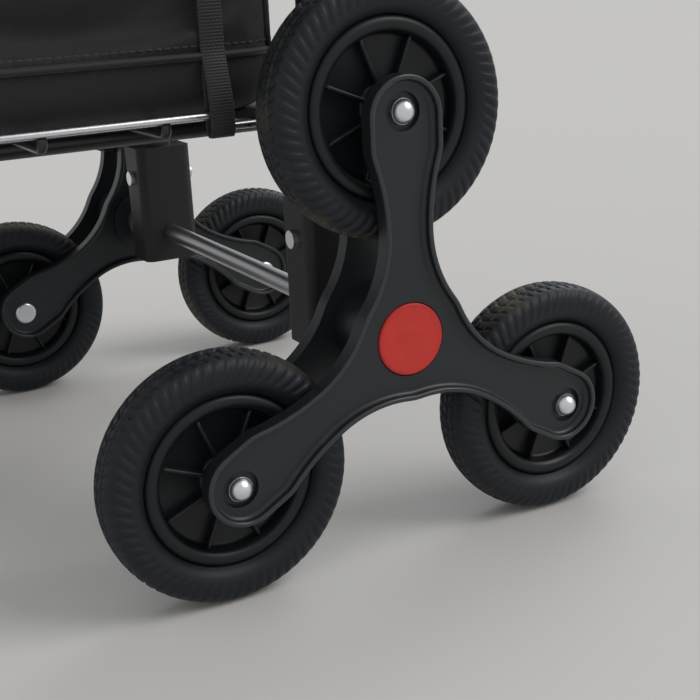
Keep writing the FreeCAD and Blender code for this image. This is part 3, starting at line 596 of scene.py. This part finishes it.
def return_spring(side):
    """Coil spring behind the button: a wire carried along a helix.
    """
    low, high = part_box(f"{side}_button_spring")
    mid, size, wire, turns, press = (low + high) / 2, high.y - low.y, 0.0006, 4, 0.004
    coil = (high.z - low.z) / 2 - wire
    turn = np.linspace(0, turns * TAU, turns * 48)
    path = np.stack([mid.x + coil * np.cos(turn), mid.y + (size / 2 - wire) * np.linspace(-1, 1, len(turn)),
                     mid.z + coil * np.sin(turn)], 1)
    spring = swept(f"{side}_return_spring", path, circle_section(wire, 8), up=(0, 1, 0))
    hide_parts(f"{side}_button_spring")
    fitted(spring, STEEL, f"{side}_hub")
    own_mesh(spring)


for side in SIDES:
    return_spring(side)
    for place in PLACES:
        tyre_piece(side, place)
        rim_piece(side, place)


# ---------------------------------------------------------------- sewn goods: helpers
def outline(half_x, half_y, corner, count):
    """Points and outward normals evenly round a rounded rectangle: four quarter arcs joined up."""
    corner = max(corner, 0.001)
    turn = np.linspace(0, math.pi / 2, 13)
    ring = []
    for i, (sx, sy) in enumerate(((1, 1), (-1, 1), (-1, -1), (1, -1))):
        a = turn + i * TAU / 4
        ring.append(np.stack([sx * (half_x - corner) + corner * np.cos(a),
                              sy * (half_y - corner) + corner * np.sin(a)], 1))
    ring = np.vstack(ring + [ring[0][:1]])
    points = along(ring, count + 1)[:-1]
    tangent = np.roll(points, -1, 0) - np.roll(points, 1, 0)
    normal = np.stack([tangent[:, 1], -tangent[:, 0]], 1)
    return points, normal / np.linalg.norm(normal, axis=1)[:, None]


def scattered(name, points, faces, centres, along_dir, out_dir):
    """Copies of a small shape, one per centre, its x along the path and its z standing outwards."""
    points, centres = np.asarray(points, float), np.asarray(centres, float)
    t = along_dir / np.linalg.norm(along_dir, axis=1)[:, None]
    n = out_dir - t * (out_dir * t).sum(1)[:, None]
    n /= np.linalg.norm(n, axis=1)[:, None]
    s = np.cross(n, t)
    placed = (centres[:, None] + t[:, None] * points[None, :, :1] + s[:, None] * points[None, :, 1:2]
              + n[:, None] * points[None, :, 2:])
    shift = np.arange(len(centres)) * len(points)
    every = [tuple(int(k + move) for k in face) for move in shift for face in faces]
    return mesh_object(name, placed.reshape(-1, 3), every)


def dash(length, radius):
    """A short rounded bar along x: four rings of six points with closed ends."""
    turn = np.arange(6) * TAU / 6
    rings = [np.stack([np.full(6, x * length), s * radius * np.cos(turn), s * radius * np.sin(turn)], 1)
             for x, s in ((-0.5, 0.4), (-0.36, 1.0), (0.36, 1.0), (0.5, 0.4))]
    faces = [tuple(f) for f in wrap_faces(4, 6, False, True)]
    return np.vstack(rings), faces + [(5, 4, 3, 2, 1, 0), (18, 19, 20, 21, 22, 23)]


def stitch_row(name, path, out_dir, body, step=0.0045, closed=False):
    """Thread along a seam: one dash per stitch, evenly spaced and half sunk in the cloth."""
    path, out_dir = np.asarray(path, float), np.asarray(out_dir, float)
    if out_dir.ndim == 1:
        out_dir = np.broadcast_to(out_dir, path.shape)
    if closed:
        path, out_dir = np.vstack([path, path[:1]]), np.vstack([out_dir, out_dir[:1]])
    count = max(int(np.linalg.norm(np.diff(path, axis=0), axis=1).sum() / step), 2)
    both = along(np.hstack([path, out_dir * 1e-9]), count)    # directions too small to add length
    points, faces = dash(step * 0.66, 0.00042)
    thread = scattered(name, points, faces, both[:, :3], np.gradient(both[:, :3], axis=0), both[:, 3:] * 1e9)
    return fitted(thread, THREAD, body)


def solid_sheet(obj, thick, offset=-1.0, lining=None):
    """A sheet given its thickness, inwards unless told otherwise."""
    wall = obj.modifiers.new("thickness", "SOLIDIFY")
    wall.thickness, wall.offset = thick, offset
    wall.use_even_offset = True
    if lining:
        obj.data.materials.append(lining)
        wall.material_offset = 1
    return obj


def finer(obj):
    """One subdivision."""
    smooth = obj.modifiers.new("finer", "SUBSURF")
    smooth.levels = smooth.render_levels = 1
    return obj


CLOTH_FRAMES, CLOTH_SLACK, CLOTH_DRIFT = 22, -0.018, 0.006


def settled(obj, pins, inward, outward):
    """The sheet after it has settled as cloth, held where pins is 1.

    The cloth is cut a little larger than its place, so it buckles into folds.  Each
    point may move inward or outward along its own normal by no more than the caps.
    """
    scene = bpy.context.scene
    count = len(obj.data.vertices)
    start, normals = np.empty(count * 3), np.empty(count * 3)
    obj.data.vertices.foreach_get("co", start)
    obj.data.vertices.foreach_get("normal", normals)
    start, normals = start.reshape(-1, 3), normals.reshape(-1, 3)
    group = obj.vertex_groups.new(name="held")
    for level in np.unique(np.round(pins, 1)):
        if level > 0:
            group.add(np.flatnonzero(np.round(pins, 1) == level).tolist(), float(level), "REPLACE")
    cloth = obj.modifiers.new("settle", "CLOTH")
    setting = cloth.settings
    setting.quality, setting.mass, setting.air_damping = 6, 0.25, 3.0
    setting.tension_stiffness = setting.compression_stiffness = 22
    setting.shear_stiffness, setting.bending_stiffness = 8, 3.5
    setting.vertex_group_mass, setting.pin_stiffness = "held", 3.0
    setting.shrink_min = CLOTH_SLACK
    cloth.collision_settings.use_collision = False
    cloth.point_cache.frame_start, cloth.point_cache.frame_end = 1, CLOTH_FRAMES
    for number in range(1, CLOTH_FRAMES + 1):
        scene.frame_set(number)
    shape = bpy.data.meshes.new_from_object(obj.evaluated_get(bpy.context.evaluated_depsgraph_get()))
    moved = np.empty(count * 3)
    shape.vertices.foreach_get("co", moved)
    moved = moved.reshape(-1, 3)
    obj.modifiers.remove(cloth)
    scene.frame_set(1)
    bpy.data.meshes.remove(shape)
    step = moved - start
    inout = (step * normals).sum(1)
    aside = step - inout[:, None] * normals
    reach = np.linalg.norm(aside, axis=1)
    aside *= np.minimum(1, CLOTH_DRIFT / np.maximum(reach, 1e-9))[:, None]
    inout = np.where(inout > 0, outward * np.tanh(inout / outward), -inward * np.tanh(-inout / inward))
    obj.data.vertices.foreach_set("co", (start + aside + normals * inout[:, None]).ravel())
    obj.data.update()
    return obj


# ---------------------------------------------------------------- bag
BAG_LOW, BAG_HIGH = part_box("bag_panels")
BAG_MID = (BAG_LOW + BAG_HIGH) / 2
BAG_HALF_X, BAG_HALF_Y = (BAG_HIGH.x - BAG_LOW.x) / 2, (BAG_HIGH.y - BAG_LOW.y) / 2
BAG_TALL = BAG_HIGH.z - BAG_LOW.z
BAG_CORNER, BAG_EDGE = 34 * MM, 18 * MM
AROUND = 208
HEM, FOOT_SEAM = 26 * MM, BAG_LOW.z + 30 * MM


def bag_ring(inset, height, count=AROUND):
    """The bag's outline at a height, drawn in by an inset: points (count, 3) and normals."""
    flat, normal = outline(BAG_HALF_X - inset, BAG_HALF_Y - inset, BAG_CORNER - inset * 0.7, count)
    points = np.stack([BAG_MID.x + flat[:, 0], BAG_MID.y + flat[:, 1], np.full(count, height)], 1)
    return points, np.stack([normal[:, 0], normal[:, 1], np.zeros(count)], 1)


def corner_distance(points):
    """How far round the side a point is from the middle of the nearest corner: 0 at a corner."""
    x = (np.abs(points[..., 0] - BAG_MID.x) / BAG_HALF_X)
    y = (np.abs(points[..., 1] - BAG_MID.y) / BAG_HALF_Y)
    return np.clip(1 - np.minimum(x, y) / 0.93, 0, 1)


def bag_shell():
    """Lofted shell: rings from the middle of the floor, round the lower edge and up to the hem.

    The walls dish inwards between the corner seams, with slack rolls across the lower
    half and slanting pulls from the corners; the hem is a doubled band.
    """
    rows, normals = [], []
    centre, (ring, _) = np.array([BAG_MID.x, BAG_MID.y, BAG_LOW.z]), bag_ring(BAG_EDGE, BAG_LOW.z)
    for scale in np.linspace(0, 1, 15)[:-1]:
        rows.append(centre + (ring - centre) * scale)
        normals.append(np.broadcast_to([0.0, 0, -1], ring.shape))
    for a in np.linspace(0, math.pi / 2, 7):
        ring, out = bag_ring(BAG_EDGE * (1 - math.sin(a)), BAG_LOW.z + BAG_EDGE * (1 - math.cos(a)))
        rows.append(ring)
        normals.append(out * math.sin(a) + np.array([0, 0, -math.cos(a)]))
    for height in np.linspace(BAG_LOW.z + BAG_EDGE, BAG_HIGH.z, 104)[1:]:
        ring, out = bag_ring(0, height)
        rows.append(ring)
        normals.append(out)
    points, normals = np.stack(rows, 1), np.stack(normals, 1)

    height = np.clip((points[..., 2] - BAG_LOW.z) / BAG_TALL, 0, 1)
    panel = corner_distance(points)
    free = (smoothstep(0.02, 0.12, height) * smoothstep(1 - HEM / BAG_TALL, 0.86, height)
            * smoothstep(0.03, 0.3, panel))
    x, y, z = (points[..., i] for i in range(3))
    around = x + y
    dish = -5.5 * np.sin(np.pi * np.clip(height, 0, 1)) ** 0.8 * panel
    rolls = 1.5 * (np.sin(z * TAU / 0.083 + 1.4 * np.sin(around * 14) + 0.8) - 1)
    rolls *= smoothstep(0.62, 0.1, height)
    drift = 1.7 * np.sin(z * 11 + 2.0 * np.sin(around * 6)) + 1.1 * np.sin(y * 23 - z * 7)
    faint = 0.5 + 0.5 * np.sin(z * 9 + around * 13 + 0.7) * np.sin(around * 8 - z * 5)
    pulls = -0.9 * faint * (1 + np.sin((z * 1.2 + np.abs(around) * 1.5) * TAU / 0.14 + drift))
    hem = 0.7 * smoothstep(BAG_HIGH.z - HEM - 0.001, BAG_HIGH.z - HEM + 0.001, z)
    move = (dish + rolls * 0.8 + pulls * 0.5) * free + hem
    points = points + normals * (move * MM)[..., None]

    shell = grid_object("bag_shell", points, wrap_u=True)
    spots = np.empty(len(shell.data.vertices) * 3)
    shell.data.vertices.foreach_get("co", spots)
    spots = spots.reshape(-1, 3)
    height = (spots[:, 2] - BAG_LOW.z) / BAG_TALL
    pins = np.maximum(1 - smoothstep(0.03, 0.09, height), smoothstep(0.9, 0.95, height))
    pins = np.maximum(pins, 1 - smoothstep(0.02, 0.16, corner_distance(spots)))
    settled(shell, pins, 0.008, 0.0012)
    if shell_faces_in(shell, BAG_MID):
        shell.data.flip_normals()
    fitted(shell, FABRIC, "frame")
    solid_sheet(shell, 0.0016, lining=LINING)
    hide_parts("bag_panels", "bag_corners", "bag_floor")


def bag_trim():
    """Piping round the foot of the bag and up its corners, and the hem's stitching."""
    foot, _ = bag_ring(-0.0006, FOOT_SEAM, 240)
    pieces = [swept("bag_foot_piping", foot, circle_section(0.0019), closed=True)]
    for i, (sx, sy) in enumerate(((1, 1), (1, -1), (-1, 1), (-1, -1))):
        r = BAG_CORNER + 0.0006
        x = BAG_MID.x + sx * (BAG_HALF_X - BAG_CORNER + r * math.cos(math.pi / 4))
        y = BAG_MID.y + sy * (BAG_HALF_Y - BAG_CORNER + r * math.sin(math.pi / 4))
        line = np.stack([np.full(40, x), np.full(40, y), np.linspace(FOOT_SEAM, BAG_HIGH.z - HEM, 40)], 1)
        pieces.append(swept(f"corner_piping_{i}", line, circle_section(0.0018), up=(1, 0.3, 0)))
    for piece in pieces:
        fitted(piece, PIPING, "frame")
    for i, height in enumerate((BAG_HIGH.z - HEM + 0.004, BAG_HIGH.z - 0.004)):
        ring, out = bag_ring(-0.0008, height, 240)
        stitch_row(f"hem_stitches_{i}", ring, out, "frame", closed=True)
    ring, out = bag_ring(-0.0003, FOOT_SEAM + 0.005, 240)
    stitch_row("foot_stitches", ring, out, "frame", closed=True)


# ---------------------------------------------------------------- pocket
def pocket():
    """Flat pouch on the front: a piped front panel, pleated sides and a zip near its top."""
    low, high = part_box("bag_pocket")
    mid = (low + high) / 2
    half_y, half_z = (high.y - low.y) / 2, (high.z - low.z) / 2
    deep = high.x - low.x
    count = 176
    rows = []
    edge = 0.01
    profile = [(half_z, 0.0), (half_z * 0.5, 0.0), (0.0, 0.0), (0.0, 0.3), (-0.0008, 0.55), (0.0, 0.78),
               (0.0006, 0.9), (0.004, 0.985)]
    for inset, depth in profile:
        near = min(inset, edge)
        flat, _ = outline(half_y - near, half_z - near, 0.02 - near, count)
        flat = flat * (1 - max(inset - edge, 0) / (half_z - edge)) + [mid.y, mid.z]
        rows.append(np.stack([np.full(count, high.x - deep * depth), flat[:, 0], flat[:, 1]], 1))
    face, _ = outline(half_y - 0.009, half_z - 0.009, 0.012, count)
    for scale in np.linspace(1, 0, 34):
        y, z = face[:, 0] * scale, face[:, 1] * scale
        crown = (1 - (y / half_y) ** 2) * (1 - (z / half_z) ** 2)
        rolls = np.sin(z * TAU / 0.07 + 1.5 * np.sin(y * 22)) * smoothstep(0.08, 0.6, 1 - scale)
        x = low.x + 0.0022 - 0.0016 * crown + 0.0013 * rolls * (1 - 0.5 * crown)
        rows.append(np.stack([x, mid.y + y, mid.z + z], 1))
    pouch = grid_object("pocket_pouch", np.stack(rows, 1), wrap_u=True)
    fitted(pouch, FABRIC_FRONT, "frame")
    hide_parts("bag_pocket")

    rim, _ = outline(half_y - 0.0042, half_z - 0.0042, 0.0165, 200)
    path = np.stack([np.full(200, low.x + 0.0012), mid.y + rim[:, 0], mid.z + rim[:, 1]], 1)
    piping = swept("pocket_piping", path, circle_section(0.0017), up=(1, 0, 0), closed=True)
    fitted(piping, PIPING, "frame")

    zip_z, zip_half, face_x = high.z - 0.042, half_y - 0.018, low.x + 0.0002
    line = np.stack([np.full(60, face_x), np.linspace(-zip_half, zip_half, 60), np.full(60, zip_z)], 1)
    for i, lift in enumerate((-1, 1)):
        tape = swept(f"zip_tape_{i}", line + [0, 0, lift * 0.0075], band_section(0.012, 0.0008), up=(1, 0, 0))
        fitted(tape, WEBBING, "frame")
        stitch_row(f"zip_stitches_{i}", line + [-0.0005, 0, lift * 0.0115], (-1.0, 0, 0), "frame")
    tooth = np.array([(-0.7, -2.2, 0), (0.7, -2.2, 0), (0.7, 2.2, 0), (-0.7, 2.2, 0),
                      (-0.5, -1.9, 1.3), (0.5, -1.9, 1.3), (0.5, 1.9, 1.3), (-0.5, 1.9, 1.3)]) * MM
    faces = [(3, 2, 1, 0), (4, 5, 6, 7), (0, 1, 5, 4), (1, 2, 6, 5), (2, 3, 7, 6), (3, 0, 4, 7)]
    places = along(line, int(2 * zip_half / 0.0023))
    places[:, 2] += 0.0004 * (-1) ** np.arange(len(places))
    ones = np.ones(len(places))[:, None]
    teeth = scattered("zip_teeth", tooth, faces, places, ones * [0, 1.0, 0], ones * [-1.0, 0, 0])
    fitted(teeth, BUCKLE, "frame")
    end = np.array([face_x, zip_half, zip_z])
    slider_line = [(-0.6, -6, 0), (-2.5, -11, 0), (-2.5, -15, 0), (-0.6, -19, 0)]
    pull_line = [(-3.2, -13, -1), (-3.0, -13.5, -14), (-2.2, -14, -30)]
    for name, line, section in (("zip_slider", slider_line, band_section(0.009, 0.0022)),
                                ("zip_pull", pull_line, band_section(0.0065, 0.0014))):
        metal = swept(name, through(end + np.array(line) * MM, 20), section, up=(-1, 0, 0))
        fitted(metal, ZINC, "frame")


# ---------------------------------------------------------------- straps and loops
def ladder_buckle(name, centre, out, width):
    """Two-bar slide on an upright strap: a rounded frame with two bars across its middle."""
    half, centre, out = width / 2 + 0.0035, np.array(centre), np.array(out, float)
    ring, _ = outline(half, 0.0095, 0.003, 64)
    path = centre + out * 0.0022 + ring @ [[1, 0, 0], [0, 0, 1]]
    bars = [swept(name + "_frame", path, circle_section(0.0015), up=out, closed=True)]
    for i, height in enumerate((-0.003, 0.003)):
        line = centre + out * 0.0026 + [0, 0, height] + np.linspace(-half, half, 12)[:, None] * [1, 0, 0]
        bars.append(swept(f"{name}_bar_{i}", line, circle_section(0.0012, 8), up=out))
    piece = joined(name, bars)
    return fitted(piece, BUCKLE, "frame")


BOX_STITCH = ((-1, 1), (1, 1), (1, -1), (-1, -1), (-1, 1), (1, -1))


def straps():
    """Webbing sewn in a loop round the hoop, then in to the bag's side and up it.

    Each path lies across the bag: down behind the hoop, half round under it, up its
    outside, leaning in to the bag and straight up the side.
    """
    low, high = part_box("bag_straps")
    hoop_high, hoop_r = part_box("cradle_hoop")[1], 0.002
    mid_x = (low.x + high.x) / 2
    width, thick = 0.0132, 0.0015
    outside, against = high.y - thick / 2, BAG_HALF_Y + 0.0011    # the webbing's middle, from the bag's
    rail_y = hoop_high.y - hoop_r
    turn_r = outside - rail_y
    lean = hoop_high.z + 0.006
    under = low.z + turn_r + thick / 2
    turn = np.linspace(math.pi, TAU, 13)
    round_hoop = np.stack([rail_y + turn_r * np.cos(turn), under + turn_r * np.sin(turn)], 1)
    behind = through([(against, lean + 0.017), (against, lean + 0.004), (rail_y - turn_r, under + 0.006),
                      (rail_y - turn_r, under)], 24)
    climb = through([(outside, under), (outside, lean - 0.004), (outside - 0.0012, lean + 0.004),
                     (against + 0.0012, lean + 0.02), (against, lean + 0.03), (against + 0.0004, lean + 0.09),
                     (against, lean + 0.19), (against + 0.0004, lean + 0.3), (against, high.z - 0.03),
                     (against, high.z)], 130)
    side_line = along(np.vstack([behind[:-1], round_hoop, climb[1:]]), 180)
    flat = band_section(width, thick)[:, ::-1]
    slide_z = lean + 0.2
    for side, sign in SIDES.items():
        strap = swept(side + "_strap", [(mid_x, sign * y, z) for y, z in side_line], flat, up=(1, 0, 0))
        fitted(strap, WEBBING, "frame")
        ladder_buckle(side + "_strap_slide", (mid_x, sign * (against + 0.0006), slide_z), (0, sign, 0), width)
        tail = [(mid_x + x * MM, sign * (against + y * MM), slide_z - z * MM)
                for x, y, z in ((0, 2.2, 7), (1, 3.6, 35), (2, 4.8, 57))]
        end = swept(side + "_strap_tail", through(tail, 30), band_section(width * 0.98, 0.0012),
                    up=(0, sign, 0))
        fitted(end, WEBBING, "frame")
        middle_spot = (mid_x, sign * (against + thick / 2 + 0.0001), high.z - 0.012)
        box_line = [np.add(middle_spot, (x * 0.0045, 0, z * 0.008)) for x, z in BOX_STITCH]
        stitch_row(side + "_strap_stitches", box_line, (0, sign, 0), "frame", step=0.003)
    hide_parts("bag_straps")


def loops():
    """Webbing loops round the upper crossbar, sewn to the back of the bag."""
    low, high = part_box("bag_loops")
    bar_low, bar_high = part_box("upper_crossbar")
    bar = (bar_low + bar_high) / 2
    r = (bar_high.z - bar_low.z) / 2 + 0.0011
    patch_x = low.x + 0.0008
    for side, sign in SIDES.items():
        y = sign * (high.y - 0.015)
        turn = np.radians(np.linspace(172, -172, 48))
        ring = np.stack([bar.x + r * np.cos(turn), np.full(48, y), bar.z + r * np.sin(turn)], 1)
        above, below = (through([(patch_x, y, end), (patch_x, y, bar.z + up * 0.011),
                                 (patch_x + 0.0022, y, bar.z + up * 0.0042),
                                 (bar.x - r - 0.001, y, bar.z + up * 0.0012)], 24)
                        for end, up in ((high.z + 0.008, 1), (low.z - 0.004, -1)))
        path = along(np.vstack([above[:-1], ring, below[-2::-1]]), 120)
        loop = swept(side + "_bag_loop", path, band_section(0.030, 0.0014), up=(0, 1, 0))
        fitted(loop, WEBBING, "frame")
    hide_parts("bag_loops")


# ---------------------------------------------------------------- flap
def flap():
    """Lid: a top that sags into the mouth, rolls over the front edge and hangs as a skirt.

    Across is a row from side to side; down each side a skirt hangs that narrows towards
    the hinge.  Every free edge is bound with tape.
    """
    low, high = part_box("bag_flap")
    half = (high.y - low.y) / 2 - 0.0022
    back, front = high.x - 0.001, low.x + 0.0016
    top = high.z - 0.0016
    skirt = 0.119
    roll = 0.009
    quarter = np.linspace(0, math.pi / 2, 8)
    run_x = np.concatenate([np.linspace(back, front + roll, 60), front + roll - roll * np.sin(quarter[1:]),
                            np.full(34, front)])
    run_z = np.concatenate([np.full(60, top), top - roll * (1 - np.cos(quarter[1:])),
                            np.linspace(top - roll, top - skirt, 35)[1:]])
    across = np.linspace(-1, 1, 72)
    tuck = 0.012 * smoothstep(top - 0.004, top - 0.03, run_z)
    y = across[:, None] * (half - tuck)[None]
    x = np.broadcast_to(run_x, y.shape).copy()
    z = np.broadcast_to(run_z, y.shape).copy()
    lid = smoothstep(top - 0.002, top, run_z)[None] * smoothstep(1.0, 0.8, np.abs(across))[:, None]
    deep = np.clip((run_x - front) / (back - front), 0, 1)[None]
    sag = (4 * deep * (1 - deep)) ** 0.7 * np.cos(across[:, None] * math.pi / 2) ** 0.7
    z -= lid * sag * (0.0062 + 0.0016 * np.sin(x * TAU / 0.09 + 2.2 * np.sin(y * 19)))
    hang = smoothstep(top - roll, top - skirt, run_z)[None]
    x -= hang * (0.0012 + 0.0016 * np.sin(y * TAU / 0.088 + 0.9) + 0.0006 * np.sin(y * TAU / 0.037))
    z += hang * 0.0014 * np.sin(y * TAU / 0.19 + 0.5)
    cloth = grid_object("flap_cloth", np.stack([x, y, z], -1), recalc=False)
    edge_path = [np.stack([x[i], y[i], z[i]], 1) for i in (0, -1)]
    hem_path = np.stack([x[:, -1], y[:, -1], z[:, -1]], 1)

    pieces, bound = [cloth], []
    side_low, edge_r = high.z - 0.0435, 0.004
    for sign in (-1, 1):
        along_x = np.linspace(0, 1, 64)
        start_x, end_x = back - 0.017, front + 0.004
        x_top = start_x + (end_x - start_x) * along_x
        drop = (top - 0.0018 - side_low) * smoothstep(0.0, 0.62, along_x) ** 0.8 + 0.003
        down = np.linspace(0, 1, 20)
        px = np.broadcast_to(x_top[:, None], (64, 20))
        pz = top - 0.0006 - drop[:, None] * down[None]
        bulge = 0.0007 * np.sin(x_top[:, None] * TAU / 0.07) * down[None]
        fall = np.clip(down * drop[:, None] / edge_r, 0, 1)
        round_over = edge_r * (1 - np.sqrt(np.clip(1 - (1 - fall) ** 2, 0, 1)))
        py = sign * (half + 0.0012 + bulge - round_over)
        pieces.append(grid_object(f"flap_side_{sign}", np.stack([px, py, pz], -1), recalc=False))
        bound.append(np.stack([px[:, -1], py[:, -1], pz[:, -1]], 1))
    lid_piece = joined("flap_lid", pieces)
    face_outwards(lid_piece)
    up = max(lid_piece.data.polygons, key=lambda p: p.center.z)
    if up.normal.z < 0:
        lid_piece.data.flip_normals()
    fitted(shade_smooth(lid_piece), FABRIC_FRONT, "flap")
    solid_sheet(lid_piece, 0.0018, offset=0.0)
    finer(lid_piece)
    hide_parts("bag_flap")

    tape = np.array([(0, -6), (1.6, -5.2), (1.6, 3.6), (0, 4.6), (-1.6, 3.6), (-1.6, -5.2)]) * MM
    for i, path in enumerate(bound):
        binding = swept(f"flap_side_binding_{i}", along(path, 70), circle_section(0.0019), up=(0, 1, 0))
        fitted(binding, PIPING, "flap")
    fitted(swept("flap_hem_binding", along(hem_path, 90), tape), PIPING, "flap")
    for i, path in enumerate(edge_path):
        welt = swept(f"flap_welt_{i}", along(path, 130), circle_section(0.0016), up=(0, 1, 0))
        fitted(welt, PIPING, "flap")
    stitch_row("flap_hem_stitches", hem_path + [-0.0012, 0, 0.0105], (-1.0, 0, 0), "flap")
    pull = through([(front - 0.0032, 0.0, top - skirt + 0.03), (front - 0.0036, 0.0, top - skirt + 0.004),
                    (front - 0.0048, 0.0, top - skirt - 0.022)], 30)
    tab = swept("flap_pull_tab", pull, band_section(0.025, 0.0016), up=(-1, 0, 0))
    fitted(tab, WEBBING, "flap")
    box_line = [(front - 0.0044, y * 0.009, top - skirt + 0.018 + z * 0.009) for y, z in BOX_STITCH]
    stitch_row("pull_tab_stitches", box_line, (-1.0, 0, 0), "flap", step=0.0032)


# ---------------------------------------------------------------- grip
def grip():
    """Foam sleeve: a turned profile with soft ends, pressed in slightly where hands hold it."""
    low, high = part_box("handle_grip")
    mid = (low + high) / 2
    half, r = (high.y - low.y) / 2, (high.z - low.z) / 2
    bore = 0.0081
    s = np.linspace(-1, 1, 120)
    body = r - 0.0008 + 0.0005 * np.cos(s * math.pi * 2) + 0.00025 * np.sin(s * 31)
    end = 0.004
    past = np.clip(end - (1 - np.abs(s)) * half, 0, end)
    shape = np.minimum(body, r - 0.0005 - end + np.sqrt(end**2 - past**2))
    profile = np.vstack([[(bore, -half)], np.stack([shape, s * half], 1), [(bore, half)]])
    sleeve = fitted(turned("grip_sleeve", mid, profile, 64), FOAM, "handle")
    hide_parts("handle_grip")


bag_shell()
bag_trim()
pocket()
straps()
loops()
flap()
grip()


# ---------------------------------------------------------------- CAD nodes
CAD_FINISH = {
    "axle": STEEL, "axle_spacers": FRAME_PLASTIC, "bracket_screws": ZINC, "upright_collars": FRAME_PLASTIC,
    "upper_crossbar": POWDER, "lower_crossbar": POWDER, "rail_clamps": FRAME_PLASTIC,
    "base_side_tubes": POWDER, "front_foot_tube": POWDER, "foot_caps": FOOT, "cradle_hoop": WIRE,
    "base_wires": POWDER, "base_board": FRAME_PLASTIC, "handle_tube": ANODISED,
    "handle_lock_clips": ZINC,
}
SIDE_FINISH = {
    "axle_bracket": FRAME_PLASTIC, "upright": POWDER, "wheel_bolts": ZINC, "dome_nuts": ZINC,
    "wheel_sleeves": STEEL, "release_core": NYLON, "circlip": STEEL, "lock_clip": STEEL,
    "release_button": RED,
}
for node, material in CAD_FINISH.items():
    dress(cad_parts[node], material)
for side in SIDES:
    for node, material in SIDE_FINISH.items():
        dress(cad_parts[f"{side}_{node}"], material)
    for node in ("outer_spider", "inner_spider"):
        dress(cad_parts[f"{side}_{node}"], SPIDER[side])


# ---------------------------------------------------------------- floor, light and camera
def studio():
    """Pale floor under an even sky, with one broad soft light from the upper right."""
    size = 60.0
    floor = grid_object("floor", np.array([[(-size, -size, 0), (-size, size, 0)],
                                           [(size, -size, 0), (size, size, 0)]], float), recalc=False)
    if floor.data.polygons[0].normal.z < 0:
        floor.data.flip_normals()
    f = Finish("pale_floor", roughness=0.9, Specular_IOR_Level=0.05)
    cloud = f.noise(1.5, 2.0)
    f.colour(f.blend(cloud, (0.614, 0.606, 0.588), (0.630, 0.622, 0.604)))
    dress(floor, f.material)

    world = bpy.data.worlds.new("surround")
    bpy.context.scene.world = world
    world.use_nodes = True
    sky = world.node_tree.nodes["Background"].inputs
    sky["Color"].default_value, sky["Strength"].default_value = (0.975, 0.98, 0.995, 1), 0.56

    for name, towards, strength, wide, colour in (
            ("key", (0.95, -0.7, 1.1), 1.15, 34.0, (1.0, 0.985, 0.96)),
            ("rim", (1.0, 0.75, 0.8), 0.6, 30.0, (0.94, 0.97, 1.0))):
        light = bpy.data.lights.new(name, "SUN")
        light.energy, light.angle, light.color = strength, math.radians(wide), colour
        lamp = bpy.data.objects.new(name, light)
        bpy.context.scene.collection.objects.link(lamp)
        lamp.rotation_euler = Vector(towards).to_track_quat("Z", "Y").to_euler()


def camera():
    """Close on the left cluster: from the front left, a little above, rolled slightly."""
    data = bpy.data.cameras.new("camera")
    data.lens, data.sensor_width = 63.9, 36.0
    eye = bpy.data.objects.new("camera", data)
    bpy.context.scene.collection.objects.link(eye)
    from_hub = Vector((-2.72621, -4.68208, 1.64023)) * ARM
    right, up = Vector((0.87261, -0.48611, -0.04750)), Vector((0.18757, 0.24373, 0.95153))
    turn = Matrix((right, up, right.cross(up))).transposed()
    eye.matrix_world = Matrix.Translation(HUB["left"] + from_hub) @ turn.to_4x4()
    data.clip_start, data.clip_end = 0.02, 60.0
    bpy.context.scene.camera = eye


studio()
camera()
bpy.context.scene.view_settings.view_transform = "Standard"
